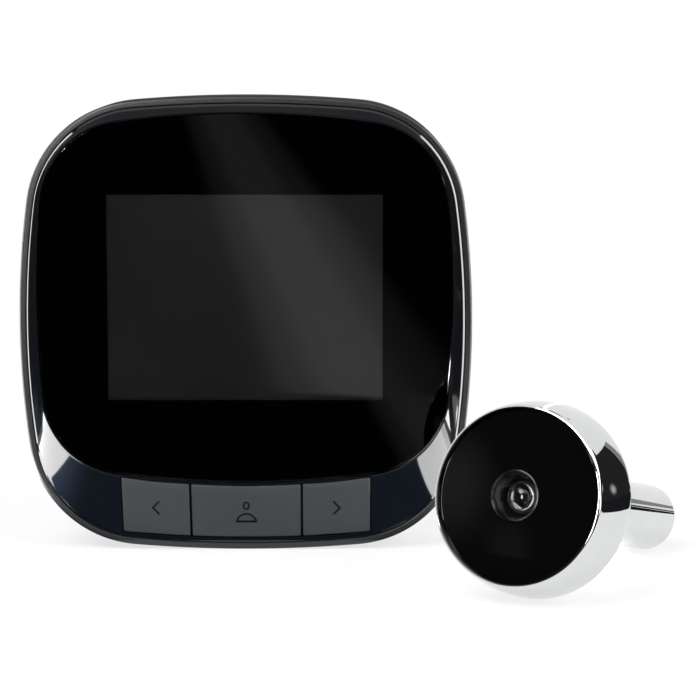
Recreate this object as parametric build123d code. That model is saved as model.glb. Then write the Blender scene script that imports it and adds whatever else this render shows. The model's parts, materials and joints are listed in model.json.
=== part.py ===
from build123d import *
import math
import os

# A door viewer in two units: an upright monitor with its glass front towards -Y,
# and an outdoor viewer that lies beside it on the same surface.
# Lengths are in millimetres, angles in degrees.

# Every cut runs this far past the material.
overrun = 1.0

# Monitor, outside
monitor_w = 95.6
monitor_h = 96.4
monitor_d = 24.0
side_arc_r = 192.0
top_arc_r = 284.0
corner_arc_r = 24.3
rim_w = 1.5
rim_y = 5.0
rim_round = 0.6
back_round = 7.0
housing_wall = 2.3
back_wall = 2.0
shell_gap = 0.1

# Window, mask and their tape
window_side_margin = 4.35
window_top_margin = 3.5
slope_h = 15.3
window_side_r = 220.0
window_top_r = 190.0
window_corner_r = 18.2
window_t = 1.0
window_edge = 0.15
window_gap = 0.08
mask_t = 0.1
mask_inset = 0.2
tape_t = 0.15
tape_inset = 0.5

# Screen
view_w_share = 0.663
view_h_share = 0.557
view_rise = 0.4
web_margin = 1.0
panel_side_border = 4.2
panel_end_border = 3.1
panel_t = 1.4
tray_side_border = 1.6
tray_end_border = 1.3
tray_t = 2.2
tray_floor = 1.25
tray_gap = 0.1
gasket_t = 0.5
rib_t = 1.2
rib_reach = 9.0
rib_depth = 2.4

# Bezel
lip_w = 0.5
lip_drop = 0.15
web_t = 1.2
edge_break_w = 0.45
edge_break_d = 0.6
skirt_wall = 1.6
skirt_d = 3.3
slope_wall = 1.5

# Keys on the lower slope
key_row_share = 0.549
middle_key_share = 0.439
key_gap = 0.5
key_side_gap = 0.2
key_t = 1.5
key_margin = 1.2
key_top_gap = 0.2
key_travel = 0.35
shelf_drop = 2.1
shelf_t = 1.0
shelf_border = 1.2
post_r = 1.1
post_gap = 0.15
post_pad_r = 3.0
post_head_r = 1.6
post_head_t = 0.3
post_head_gap = 0.1
icon_depth = 0.2
icon_line = 0.5
arrow_w = 1.5
arrow_h = 3.0
figure_head_r = 0.7
figure_w = 4.8
figure_h = 2.5
figure_base = 0.5

# Board and what it carries
board_y = 9.0
board_t = 1.2
board_inset = 4.5
board_notch = 0.6
switch_w = 4.5
switch_t = 1.15
plunger_r = 1.0
plunger_gap = 0.05
plunger_seat = 0.4
chip_w = 12.0
chip_t = 1.2
flash_w = 6.0
flash_h = 5.0
coil_w = 4.0
coil_t = 0.9
socket_w = 9.0
socket_h = 5.0
socket_d = 4.4
socket_gap = 0.3
socket_wall = 0.8
connector_w = 24.0
connector_h = 2.4
connector_t = 1.6
connector_drop = 8.0
ribbon_w = 21.0
ribbon_t = 0.2
ribbon_bend = 1.2
pad_border = 3.7

# Screws
screw_r = 1.0
screw_hole_gap = 0.15
screw_head_r = 1.9
screw_head_t = 1.4
thread_gap = 0.02
drive_r = 0.6
drive_depth = 0.7
counterbore_gap = 0.4
case_screw_x_share = 0.8996
case_screw_z_share = 0.75
case_screw_grip = 2.8
case_screw_l = 6.8
bezel_boss_r = 2.8
case_post_r = 3.7
board_screw_side = 1.1
board_screw_rise = 5.0
board_screw_l = 5.0
board_post_r = 2.5

# Battery bay
cell_r = 5.25
cell_l = 43.7
cell_nub_r = 1.9
cell_nub_l = 0.8
cell_pitch = 10.8
cell_count = 3
bay_rise = 10.0
bay_floor_y = 11.6
bay_wall = 1.0
bay_gap = 0.1
contact_room = 3.25
contact_t = 0.4
contact_w = 7.0
contact_bend = 1.4
leaf_t = 0.3
leaf_flat_share = 0.33
tail_w = 2.0
tail_gap = 0.15
cover_t = 1.2
cover_lap = 1.5
cover_hinge_lap = 2.0
cover_gap = 0.15
cover_round = 1.5
cover_swing = 40.0
tab_w = 6.0
tab_x = 15.0
tab_l = 1.8
tab_gap = 0.2
tab_back_gap = 0.1
grip_w = 14.0
grip_depth = 0.5
grip_h = 1.4
grip_step = 2.6
grip_count = 3

# Bracket and its recess
bracket_w = 56.0
bracket_t = 1.2
bracket_top_margin = 9.7
bracket_corner = 3.0
bracket_gap = 0.4
bracket_drop = 4.0
recess_d = 2.6
recess_wall = 1.4
recess_web = 2.35
hook_x = 20.0
hook_margin = 6.0
hook_w = 7.0
hook_h = 3.0
hook_gap = 0.2
slot_side_gap = 0.4
barrel_hole_r = 7.2
plate_hole_x = 19.0
plate_hole_r = 2.1
well_w = 24.0
well_margin = 6.0
well_y = 14.0
well_wall = 1.2

# Viewer head and tube, measured back from the rim along the tube
rim_r = 17.85
head_r = 19.4
widest_s = 10.1
flare_mid_s = 4.6
flare_mid_r = 18.82
head_l = 12.9
head_round = 2.6
rim_edge = 0.7
rim_inner_r = 17.1
face_r = 17.0
face_drop = 0.7
face_dome = 1.5
face_t = 1.2
face_gap = 0.05
face_edge = 0.2
head_wall = 1.4
ledge_t = 1.2
ledge_r = 14.6
backplate_t = 1.4
backplate_gap = 0.05
tube_r = 6.9
tube_spigot_r = 6.4
tube_step_gap = 0.2
tube_bore_r = 5.6
tube_neck_r = 5.0
tube_shoulder_s = 16.0
tube_end_s = 63.1
tube_end_round = 0.4
tube_thread_gap = 0.01
collar_r = 5.15
collar_gap = 0.05
collar_edge = 0.5
collar_wall = 0.7
funnel_r = 4.55
funnel_end_r = 3.1
funnel_l = 3.4
lens_r = 2.6
lens_dome = 1.3
lens_t = 1.2
lens_depth = 2.6
barrel_r = 3.4
barrel_bore_r = 2.2
barrel_sensor_gap = 0.25
inner_lens_t = 1.2
inner_lens_gap = 2.0
holder_w = 9.0
holder_l = 3.8
holder_gap = 0.05
sensor_w = 5.0
sensor_t = 0.7
sensor_board_r = 15.6
sensor_board_t = 1.0
sensor_board_gap = 0.4
sensor_screw_r = 0.8
sensor_screw_head_r = 1.5
sensor_screw_head_t = 0.8
sensor_screw_pcr = 12.2
sensor_screw_l = 2.4
sensor_screws = 3
plug_w = 5.0
plug_h = 3.2
plug_l = 2.0
grommet_t = 1.6
grommet_hole_r = 1.5
grommet_s = 14.3
gasket_ring_r = 16.4
gasket_ring_t = 0.8
gasket_hole_gap = 0.3

# Where the viewer lies beside the monitor: the rim's centre, from the monitor's centre
# line and the front of its glass, and the tube's turn from straight back to the right
viewer_x = 53.9
viewer_y = -45.7
viewer_yaw = 30.6

# Derived places in the monitor
mid_z = monitor_h / 2
window_w = monitor_w - 2 * window_side_margin
window_h = monitor_h - window_top_margin - slope_h
window_z = slope_h + window_h / 2
view_w = view_w_share * window_w
view_h = view_h_share * window_h
view_z = window_z + view_rise
panel_w = view_w + 2 * panel_side_border
panel_h = view_h + 2 * panel_end_border
tray_w = panel_w + 2 * tray_side_border
tray_h = panel_h + 2 * tray_end_border
pad_w = view_w - 2 * pad_border
pad_h = view_h - 2 * pad_border
bezel_inset = rim_w + shell_gap
web_y = window_t + mask_t + tape_t
web_back_y = web_y + web_t
skirt_y = rim_y + rim_round / 2
bezel_back_y = skirt_y + skirt_d
gasket_y = web_back_y
panel_y = gasket_y + gasket_t
tray_back_y = panel_y + panel_t + tray_floor
tray_y = tray_back_y - tray_t
board_back_y = board_y + board_t
back_y = monitor_d
cover_y = back_y - cover_t
recess_y = back_y - recess_d
bracket_y = back_y - bracket_t
key_top_z = window_z - window_h / 2 - lip_w - key_top_gap
key_bottom_z = bezel_inset + key_margin
key_z = (key_top_z + key_bottom_z) / 2
key_row_w = key_row_share * monitor_w
middle_key_w = middle_key_share * key_row_w
side_key_w = (key_row_w - middle_key_w) / 2 - key_gap
key_spans = {
    "left": (-key_row_w / 2, -key_row_w / 2 + side_key_w),
    "power": (-middle_key_w / 2, middle_key_w / 2),
    "right": (key_row_w / 2 - side_key_w, key_row_w / 2),
}
key_x = {name: sum(span) / 2 for name, span in key_spans.items()}
slope_run = key_top_z + key_top_gap - bezel_inset - edge_break_w
slope_rise = skirt_y - edge_break_d - lip_drop
cell_x = cell_l + cell_nub_l
bay_w = cell_x + 2 * contact_room
bay_h = (cell_count - 1) * cell_pitch + 2 * cell_r + 2 * bay_gap
bay_low_z = bay_rise
bay_high_z = bay_low_z + bay_h
cover_low_z = bay_low_z - cover_hinge_lap - cover_gap
cover_high_z = bay_high_z + cover_lap + cover_gap
cover_half_w = bay_w / 2 + cover_lap
hinge_r = cover_t / 2
hinge_y = back_y - hinge_r
hinge_z = cover_low_z + cover_gap + hinge_r
tab_t = hinge_r
cell_y = bay_floor_y + bay_gap + cell_r
cell_z = [bay_high_z - bay_gap - cell_r - i * cell_pitch for i in range(cell_count)]
recess_low_z = cover_high_z + recess_web
bracket_low_z = recess_low_z + bracket_gap + bracket_drop
bracket_h = monitor_h - bracket_top_margin - bracket_low_z
bracket_z = bracket_low_z + bracket_h / 2
recess_h = bracket_h + bracket_drop + 2 * bracket_gap
recess_z = bracket_z - bracket_drop / 2
hook_z = bracket_h / 2 - hook_margin
well_h = bracket_h - 2 * well_margin
case_screw_x = (cover_half_w + case_screw_x_share * monitor_w / 2) / 2
case_screw_z = case_screw_z_share * mid_z
board_screw_x = bracket_w / 2 + bracket_gap + bay_wall + board_post_r + board_screw_side
board_screw_z = mid_z + board_screw_rise
tube_step_s = head_l + gasket_ring_t + tube_step_gap
face_front_s = face_drop - face_dome
lens_s = face_front_s + lens_depth
barrel_s = face_front_s + funnel_l + collar_gap

# Halfway round a quarter circle
eighth_turn = math.pi / 4


def block(x0, x1, y0, y1, z0, z1):
    """A box between two corners."""
    centre = ((x0 + x1) / 2, (y0 + y1) / 2, (z0 + z1) / 2)
    return Pos(*centre) * Box(x1 - x0, y1 - y0, z1 - z0)


def block_at(x, z, w, h, y0, y1):
    """A box centred on x and z, from y0 back to y1."""
    return block(x - w / 2, x + w / 2, y0, y1, z - h / 2, z + h / 2)


def rod(x, z, r, y0, y1):
    """A round rod along Y."""
    flat = Plane(origin=(x, y0, z), x_dir=(1, 0, 0), z_dir=(0, 1, 0))
    return extrude(flat * Circle(r), amount=y1 - y0)


def upright(y, z):
    """A plane that faces forward, with its own x to the right and its own y up."""
    return Plane(origin=(0, y, z), x_dir=(1, 0, 0), z_dir=(0, -1, 0))


def rounded_square(w, h, side_r, top_r, corner_r, inset):
    """A face bounded by four long arcs and four corner arcs, each tangent to the next."""
    half_w = w / 2 - inset
    half_h = h / 2 - inset
    side_r = side_r - inset
    top_r = top_r - inset
    corner_r = corner_r - inset
    side_c = half_w - side_r
    top_c = half_h - top_r
    span = math.hypot(side_c, top_c)
    near = side_r - corner_r
    far = top_r - corner_r
    along = (near**2 - far**2 + span**2) / (2 * span)
    across = math.sqrt(near**2 - along**2)
    cx = side_c + (along * -side_c - across * top_c) / span
    cy = (along * top_c + across * -side_c) / span
    side_end = (side_c + side_r * (cx - side_c) / near, side_r * cy / near)
    top_end = (top_r * cx / far, top_c + top_r * (cy - top_c) / far)
    turn = math.atan2(cy, cx - side_c) / 2 + math.atan2(cy - top_c, cx) / 2
    bulge = (cx + corner_r * math.cos(turn), cy + corner_r * math.sin(turn))
    edges = []
    for sx, sy in ((1, 1), (-1, 1), (-1, -1), (1, -1)):
        start, end = (side_end, top_end) if sx * sy > 0 else (top_end, side_end)
        points = [(sx * px, sy * py) for px, py in (start, bulge, end)]
        edges.append(ThreePointArc(*points))
    edges.append(ThreePointArc(flip(side_end, 1, -1), (half_w, 0), side_end))
    edges.append(ThreePointArc(flip(side_end, -1, -1), (-half_w, 0), flip(side_end, -1, 1)))
    edges.append(ThreePointArc(flip(top_end, -1, 1), (0, half_h), top_end))
    edges.append(ThreePointArc(flip(top_end, -1, -1), (0, -half_h), flip(top_end, 1, -1)))
    return make_face(edges)


def flip(point, sx, sy):
    """The mirror of a point in the two axes."""
    return (sx * point[0], sy * point[1])


def case_face(y, inset):
    """The monitor's outline, inset, standing at depth y."""
    face = rounded_square(monitor_w, monitor_h, side_arc_r, top_arc_r, corner_arc_r, inset)
    return upright(y, mid_z) * face


def window_face(y, inset):
    """The window's outline, inset, standing at depth y."""
    arcs = (window_side_r, window_top_r, window_corner_r)
    return upright(y, window_z) * rounded_square(window_w, window_h, *arcs, inset)


def slab(face, depth):
    """A face made solid towards the back."""
    return extrude(face, amount=depth, dir=(0, 1, 0))


def view_frame(outer_w, outer_h, inner_w, inner_h, y0, y1):
    """A rectangular frame centred on the screen."""
    outer = block_at(0, view_z, outer_w, outer_h, y0, y1)
    return outer - block_at(0, view_z, inner_w, inner_h, y0 - overrun, y1 + overrun)


def view_window(face_solid, w, h, y0, y1):
    """A solid with the screen's window cut through it."""
    return face_solid - block_at(0, view_z, w, h, y0 - overrun, y1 + overrun)


def screw(x, z, r, head_r, head_t, length, y, towards):
    """A pan screw along Y: its head's under-face at y, its shank running towards the front or back."""
    head = rod(x, z, head_r, *sorted((y, y - towards * head_t)))
    shank = rod(x, z, r, *sorted((y, y + towards * length)))
    tip = y - towards * head_t
    drive = rod(x, z, drive_r, *sorted((tip - towards * overrun, tip + towards * drive_depth)))
    return head + shank - drive


# Window


def front_window():
    plate = slab(window_face(0, 0), window_t)
    return chamfer(plate.faces().sort_by(Axis.Y)[0].edges(), window_edge)


def window_mask():
    film = slab(window_face(window_t, mask_inset), mask_t)
    return view_window(film, view_w, view_h, window_t, web_y)


def window_tape():
    y = window_t + mask_t
    film = slab(window_face(y, tape_inset), tape_t)
    return view_window(film, view_w + 2 * web_margin, view_h + 2 * web_margin, y, web_y)


# Bezel


def bezel_form():
    """The bezel's outer form, solid: a slope from the window's lip out to a straight skirt."""
    lip = window_face(lip_drop, -lip_w)
    shoulder = case_face(skirt_y - edge_break_d, bezel_inset + edge_break_w)
    slope = loft([lip, shoulder], ruled=True)
    edge = loft([shoulder, case_face(skirt_y, bezel_inset)], ruled=True)
    return slope + edge + slab(case_face(skirt_y, bezel_inset), skirt_d)


def bezel_hollow():
    """The space behind the web and inside the skirt."""
    depth = bezel_back_y - skirt_y + overrun
    front = window_face(web_back_y, lip_w)
    inner = case_face(skirt_y + slope_wall / 2, bezel_inset + skirt_wall)
    behind = slab(case_face(skirt_y + slope_wall / 2, bezel_inset + skirt_wall), depth)
    return loft([front, inner], ruled=True) + behind


def set_back(shape, distance):
    """A copy moved straight back."""
    return Pos(0, distance, 0) * shape


def key_prism(x0, x1, grow):
    """The band between window and case edge from x0 to x1, grown all round, as a long prism."""
    outer = case_face(-overrun, bezel_inset + key_margin - grow)
    inner = window_face(-overrun, -lip_w - key_top_gap + grow)
    depth = board_y + 2 * overrun
    band = slab(outer, depth) - slab(inner, depth)
    low = block(x0 - grow, x1 + grow, -overrun, board_y, 0, key_z + slope_run / 2 + grow)
    return band & low


def slope_y(z):
    """Depth of the slope's surface on the centre line at height z."""
    return lip_drop + slope_rise * (key_top_z + key_top_gap - z) / slope_run


def key_shelf(form):
    """The tray under the keys, with a flat pad round each post."""
    row = key_row_w / 2
    block_out = key_prism(-row, row, shelf_border) & (
        set_back(form, shelf_drop / 2) - set_back(form, shelf_drop + shelf_t)
    )
    pads = [rod(x, key_z, post_pad_r, 0, post_shelf_y()) for x in key_x.values()]
    behind = set_back(form, shelf_drop)
    return block_out + [pad & behind for pad in pads]


def post_shelf_y():
    """Depth of the flat back of the post pads, behind the shelf under every post's head."""
    x = max(key_x.values())
    sag = window_top_r - math.sqrt(window_top_r**2 - x**2)
    deepest = slope_y(key_z - post_head_r) + sag * slope_rise / slope_run
    return deepest + shelf_drop + shelf_t


def front_bezel():
    form = bezel_form()
    row = key_row_w / 2
    body = form - bezel_hollow()
    ribs = [rib for sx in (-1, 1) for sz in (-1, 1) for rib in tray_ribs(sx, sz)]
    bosses = [bezel_boss(sx, sz) & set_back(form, shelf_drop / 2) for sx in (-1, 1) for sz in (-1, 1)]
    body = body + ribs + bosses
    body = body - slab(window_face(-overrun, -window_gap), web_y + overrun)
    body = view_window(body, view_w + 2 * web_margin, view_h + 2 * web_margin, 0, web_back_y)
    body = body - (key_prism(-row, row, key_side_gap) - set_back(form, shelf_drop))
    body = body + key_shelf(form)
    body = body - (key_prism(-row, row, key_side_gap) - set_back(form, shelf_drop))
    holes = [rod(x, key_z, post_r + post_gap, 0, board_y) for x in key_x.values()]
    pilots = [case_pilot(sx, sz) for sx in (-1, 1) for sz in (-1, 1)]
    return body - holes - pilots


def tray_ribs(sx, sz):
    """Two ribs that hold one corner of the screen's tray."""
    x = tray_w / 2 + tray_gap
    z = tray_h / 2 + tray_gap
    y0 = web_back_y - web_t / 2
    y1 = web_back_y + rib_depth
    xs = sorted((sx * (x - rib_reach), sx * (x + rib_t)))
    side = sorted((sx * x, sx * (x + rib_t)))
    zs = sorted((view_z + sz * z, view_z + sz * (z + rib_t)))
    up = sorted((view_z + sz * (z - rib_reach), view_z + sz * (z + rib_t)))
    return block(*xs, y0, y1, *zs), block(*side, y0, y1, *up)


def bezel_boss(sx, sz):
    """A boss that takes one case screw."""
    return rod(sx * case_screw_x, mid_z + sz * case_screw_z, bezel_boss_r, web_y, post_y())


def post_y():
    """Depth at which the housing's posts meet the bezel's bosses."""
    return bezel_back_y + screw_r


def case_pilot(sx, sz):
    """The screw's hole in a boss."""
    tip = post_y() + case_screw_grip - case_screw_l - screw_hole_gap
    x = sx * case_screw_x
    return rod(x, mid_z + sz * case_screw_z, screw_r + thread_gap, tip, post_y() + overrun)


# Keys


def arrow_cut(x, sign):
    """An arrowhead outline as a thin bent bar, pointing left or right."""
    tip = (x + sign * arrow_w / 2, key_z)
    tail_x = x - sign * arrow_w / 2
    bars = []
    for end_z in (key_z - arrow_h / 2, key_z + arrow_h / 2):
        dx = tip[0] - tail_x
        dz = tip[1] - end_z
        place = Pos((tip[0] + tail_x) / 2, 0, (tip[1] + end_z) / 2)
        bar = Box(math.hypot(dx, dz) + icon_line, 2 * rim_y + 2 * overrun, icon_line)
        bars.append(place * Rot(0, -math.degrees(math.atan2(dz, dx)), 0) * bar)
    return bars[0] + bars[1]


def figure_cut(x):
    """A plain head and shoulders in outline."""
    depth = 2 * rim_y
    head_z = key_z + figure_head_r + icon_line
    head = rod(x, head_z, figure_head_r + icon_line / 2, -overrun, depth)
    head -= rod(x, head_z, figure_head_r - icon_line / 2, -overrun, depth)
    base_z = key_z - figure_h
    flat = upright(-overrun, base_z)
    half = figure_w / 2
    outer = flat * Polygon((-half, 0), (half, 0), (half / 2, figure_h), (-half / 2, figure_h), align=None)
    rise = figure_h - icon_line
    inner_half = half - icon_line
    inner_points = ((-inner_half, figure_base), (inner_half, figure_base), (half / 3, rise), (-half / 3, rise))
    inner = flat * Polygon(*inner_points, align=None)
    shoulders = Pos(x, 0, 0) * (slab(outer, depth) - slab(inner, depth))
    return head + shoulders


def key(name, form):
    """A key's cap with its engraved sign, its post and the post's snap head."""
    x0, x1 = key_spans[name]
    x = key_x[name]
    cap = key_prism(x0, x1, 0) & (form - set_back(form, key_t))
    sign = figure_cut(x) if name == "power" else arrow_cut(x, 1 if name == "right" else -1)
    cap -= sign - set_back(form, icon_depth)
    head_y = post_shelf_y() + post_head_gap
    post = rod(x, key_z, post_r, slope_y(key_z) + key_t / 2 + icon_depth, head_y + post_head_t)
    head = rod(x, key_z, post_head_r, head_y, head_y + post_head_t)
    return cap + post + head


def plunger(name):
    """A switch's plunger, from the key's post into the switch."""
    top = post_shelf_y() + post_head_gap + post_head_t
    return rod(key_x[name], key_z, plunger_r, top, board_y - switch_t + plunger_seat)


def switch_bodies():
    solids = []
    for x in key_x.values():
        body = block_at(x, key_z, switch_w, switch_w, board_y - switch_t, board_y)
        depth = board_y - switch_t + plunger_seat + key_travel + plunger_gap
        solids.append(body - rod(x, key_z, plunger_r + plunger_gap, 0, depth))
    return solids


# Screen


def lcd_gasket():
    inner = (view_w + 2 * web_margin, view_h + 2 * web_margin)
    return view_frame(panel_w, panel_h, *inner, gasket_y, panel_y)


def lcd_panel():
    return block_at(0, view_z, panel_w, panel_h, panel_y, panel_y + panel_t)


def lcd_backlight():
    tray = block_at(0, view_z, tray_w, tray_h, tray_y, tray_back_y)
    gap = 2 * tray_gap
    return tray - block_at(0, view_z, panel_w + gap, panel_h + gap, 0, panel_y + panel_t)


def connector_z():
    """Height of the top of the ribbon's socket."""
    return view_z - tray_h / 2 - connector_drop + connector_h


def lcd_ribbon():
    """A flat lead: down from the tray, back towards the board, and down into its socket."""
    y0 = (tray_y + tray_back_y) / 2
    y1 = board_y - connector_t / 2
    z0 = view_z - tray_h / 2
    z2 = connector_z()
    z1 = (z0 + z2) / 2
    radius = [ribbon_bend, ribbon_bend]
    path = FilletPolyline((0, y0, z0), (0, y0, z1), (0, y1, z1), (0, y1, z2), radius=radius)
    start = Plane(origin=(0, y0, z0), x_dir=(1, 0, 0), z_dir=(0, 0, -1))
    return sweep(start * Rectangle(ribbon_w, ribbon_t), path=path)


def lcd_connector():
    z1 = connector_z()
    body = block(-connector_w / 2, connector_w / 2, board_y - connector_t, board_y, z1 - connector_h, z1)
    mid_y = board_y - connector_t / 2
    half = ribbon_t / 2 + tray_gap
    reach = ribbon_w / 2 + tray_gap
    return body - block(-reach, reach, mid_y - half, mid_y + half, z1 - connector_h / 2, z1 + overrun)


def lcd_pad():
    return block_at(0, view_z, pad_w, pad_h, tray_back_y, board_y)


# Board


def main_board():
    board = slab(case_face(board_y, board_inset), board_t)
    for sx in (-1, 1):
        for sz in (-1, 1):
            z = mid_z + sz * case_screw_z
            board -= rod(sx * case_screw_x, z, case_post_r + board_notch, 0, back_y)
        hole_r = screw_r + screw_hole_gap
        board -= rod(sx * board_screw_x, board_screw_z, hole_r, 0, back_y)
    for x, z in contact_places():
        board -= block_at(x, z, contact_t + 2 * tail_gap, tail_w + 2 * tail_gap, 0, back_y)
    return board


def board_chips():
    y = board_back_y
    side_x = well_w / 2 + well_wall + chip_w
    processor = block_at(-side_x, bracket_z, chip_w, chip_w, y, y + chip_t)
    memory = block_at(side_x, bracket_z + flash_h, flash_w, flash_h, y, y + chip_t)
    coil = block_at(side_x, bracket_z - flash_h, coil_w, coil_w, y, y + coil_t)
    return [processor, memory, coil]


def camera_socket():
    y1 = board_back_y + socket_d
    body = block_at(0, bracket_z, socket_w, socket_h, board_back_y, y1)
    inner_w = socket_w - 2 * socket_wall
    inner_h = socket_h - 2 * socket_wall
    return body - block_at(0, bracket_z, inner_w, inner_h, board_back_y + socket_wall, y1 + overrun)


def board_screws():
    spec = (screw_r, screw_head_r, screw_head_t, board_screw_l, board_y, 1)
    return [screw(sx * board_screw_x, board_screw_z, *spec) for sx in (-1, 1)]


def housing_screws():
    y = post_y() + case_screw_grip
    spec = (screw_r, screw_head_r, screw_head_t, case_screw_l, y, -1)
    places = [(sx, sz) for sx in (-1, 1) for sz in (-1, 1)]
    return [screw(sx * case_screw_x, mid_z + sz * case_screw_z, *spec) for sx, sz in places]


# Rear housing


def housing_form():
    """The housing's outer form, solid: rounded at the back and round the rim."""
    outer = slab(case_face(rim_y, 0), back_y - rim_y)
    outer = fillet(outer.faces().sort_by(Axis.Y)[-1].edges(), back_round)
    return fillet(outer.faces().sort_by(Axis.Y)[0].edges(), rim_round)


def housing_shell(form):
    """The open shell, with a ledge for the bezel."""
    inner = slab(case_face(rim_y, housing_wall), back_y - back_wall - rim_y)
    inner = fillet(inner.faces().sort_by(Axis.Y)[-1].edges(), back_round - housing_wall)
    mouth = slab(case_face(rim_y - overrun, rim_w), bezel_back_y - rim_y + overrun)
    return form - inner - mouth


def housing_inside():
    """Walls round the battery bay, the bracket's recess and the cable well, and the posts."""
    back = back_y - back_wall / 2
    wall = 2 * bay_wall
    bay = block(
        -bay_w / 2 - bay_wall,
        bay_w / 2 + bay_wall,
        bay_floor_y - bay_wall,
        back,
        bay_low_z - bay_wall,
        bay_low_z + bay_h + bay_wall,
    )
    recess_w = bracket_w + 2 * bracket_gap
    recess = block_at(0, recess_z, recess_w + wall, recess_h + wall, recess_y - recess_wall, back)
    well = block_at(
        0, bracket_z, well_w + 2 * well_wall, well_h + 2 * well_wall, well_y - well_wall, back
    )
    solids = [bay, recess, well]
    for sx in (-1, 1):
        for sz in (-1, 1):
            z = mid_z + sz * case_screw_z
            solids.append(rod(sx * case_screw_x, z, case_post_r, post_y(), back))
        solids.append(rod(sx * board_screw_x, board_screw_z, board_post_r, board_back_y, back))
    return solids


def hook_slot(sx, sz):
    """The slot for one hook of the bracket, long enough for the bracket to drop and come out."""
    x = sx * hook_x
    top = bracket_z + sz * hook_z + bracket_t / 2 + hook_gap
    low = top - bracket_t - bracket_drop - 2 * hook_gap
    half = hook_w / 2 + slot_side_gap
    return block(x - half, x + half, recess_y - recess_wall - overrun, back_y, low, top)


def housing_cuts():
    out = back_y + overrun
    cuts = [
        block(-bay_w / 2, bay_w / 2, bay_floor_y, out, bay_low_z, bay_high_z),
        block(-cover_half_w - cover_gap, cover_half_w + cover_gap, cover_y, out, cover_low_z, cover_high_z),
        block_at(0, recess_z, bracket_w + 2 * bracket_gap, recess_h, recess_y, out),
        block_at(0, bracket_z, well_w, well_h, well_y, out),
        block_at(0, bracket_z, socket_w + 2 * socket_gap, socket_h + 2 * socket_gap, board_back_y, well_y + overrun),
    ]
    for sx in (-1, 1):
        cuts.append(tab_slot(sx))
        cuts.extend(hook_slot(sx, sz) for sz in (-1, 1))
        x = sx * case_screw_x
        for sz in (-1, 1):
            z = mid_z + sz * case_screw_z
            seat = post_y() + case_screw_grip
            cuts.append(rod(x, z, screw_r + screw_hole_gap, post_y() - overrun, seat + overrun))
            cuts.append(rod(x, z, screw_head_r + counterbore_gap, seat, out))
        tip = board_y + board_screw_l + screw_hole_gap
        cuts.append(rod(sx * board_screw_x, board_screw_z, screw_r + thread_gap, board_back_y - overrun, tip))
    for x, z in contact_places():
        room = (contact_t + 2 * tail_gap, tail_w + 2 * tail_gap)
        cuts.append(block_at(x, z, *room, bay_floor_y - bay_wall - overrun, bay_floor_y + overrun))
    return cuts


def rear_housing():
    form = housing_form()
    inside = [solid & form for solid in housing_inside()]
    return housing_shell(form) + inside - housing_cuts()


# Battery bay


def battery_cell(index):
    """A size AAA cell, its raised end to the right or, on the middle one, to the left."""
    turn = (-1) ** index
    half = cell_x / 2
    side = Plane(origin=(0, cell_y, cell_z[index]), x_dir=(0, 1, 0), z_dir=(turn, 0, 0))
    body = extrude((side.offset(-half)) * Circle(cell_r), amount=cell_l)
    nub = extrude((side.offset(-half + cell_l)) * Circle(cell_nub_r), amount=cell_nub_l)
    return body + nub


def contact_groups(sx):
    """Which cells each contact plate on one side serves."""
    return ((0,), (1, 2)) if sx < 0 else ((0, 1), (2,))


def contact_places():
    """Where each contact plate's tail goes through the bay's floor."""
    places = []
    for sx in (-1, 1):
        for group in contact_groups(sx):
            z = sum(cell_z[i] for i in group) / len(group)
            places.append((sx * (bay_w / 2 - contact_t / 2), z))
    return places


def leaf(sx, z):
    """A bowed leaf that presses on the end of one cell."""
    root = sx * (bay_w / 2 - contact_t)
    tip = sx * (cell_x / 2 + leaf_t)
    reach = cell_r - contact_bend
    flat = reach * leaf_flat_share
    points = [(root, cell_y - reach), (tip, cell_y - flat), (tip, cell_y + flat), (root, cell_y + reach)]
    path = FilletPolyline(*[(x, y, z) for x, y in points], radius=[contact_bend, contact_bend])
    run = Vector(points[1][0] - points[0][0], points[1][1] - points[0][1], 0)
    start = Plane(origin=(root, points[0][1], z), x_dir=(0, 0, 1), z_dir=run)
    return sweep(start * Rectangle(contact_w, leaf_t), path=path)


def battery_contacts(sx):
    """The plates on one side of the bay, each with a leaf for every cell it serves."""
    solids = []
    x1 = sx * (bay_w / 2 - bay_gap / 2)
    x0 = sx * (bay_w / 2 - contact_t)
    for group in contact_groups(sx):
        zs = [cell_z[i] for i in group]
        z = sum(zs) / len(zs)
        low = min(zs) - contact_w / 2
        high = max(zs) + contact_w / 2
        plate = block(min(x0, x1), max(x0, x1), bay_floor_y + tail_gap, cell_y + cell_r, low, high)
        tail = block(min(x0, x1), max(x0, x1), board_y, cell_y, z - tail_w / 2, z + tail_w / 2)
        keep = block(min(x0, x1, sx * cell_x / 2), max(x0, x1, sx * cell_x / 2), 0, back_y, low, high)
        solids.append(plate + tail + [leaf(sx, each) & keep for each in zs])
    return solids


def battery_cover():
    """The cover: a plate whose rounded lower edge turns about the hinge line, with two tabs below it."""
    top = cover_high_z - cover_gap
    plate = block(-cover_half_w, cover_half_w, cover_y, back_y, hinge_z, top)
    plate = fillet(plate.edges().filter_by(Axis.Y).sort_by(Axis.Z)[-2:], cover_round)
    line = Plane(origin=(-cover_half_w, hinge_y, hinge_z), x_dir=(0, 1, 0), z_dir=(1, 0, 0))
    edge = extrude(line * Circle(hinge_r), amount=2 * cover_half_w)
    tabs = [tab(sx) for sx in (-1, 1)]
    grips = []
    for i in range(grip_count):
        z = top - cover_lap - grip_step * (i + 1)
        grips.append(block_at(0, z, grip_w, grip_h, back_y - grip_depth, back_y + overrun))
    return plate + edge + tabs - grips


def tab(sx):
    """One hinge tab under the cover's lower edge, against the inner side of the slot's skin."""
    x = sx * tab_x
    half = tab_w / 2
    return block(x - half, x + half, cover_y, cover_y + tab_t, hinge_z - tab_l, hinge_z)


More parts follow.
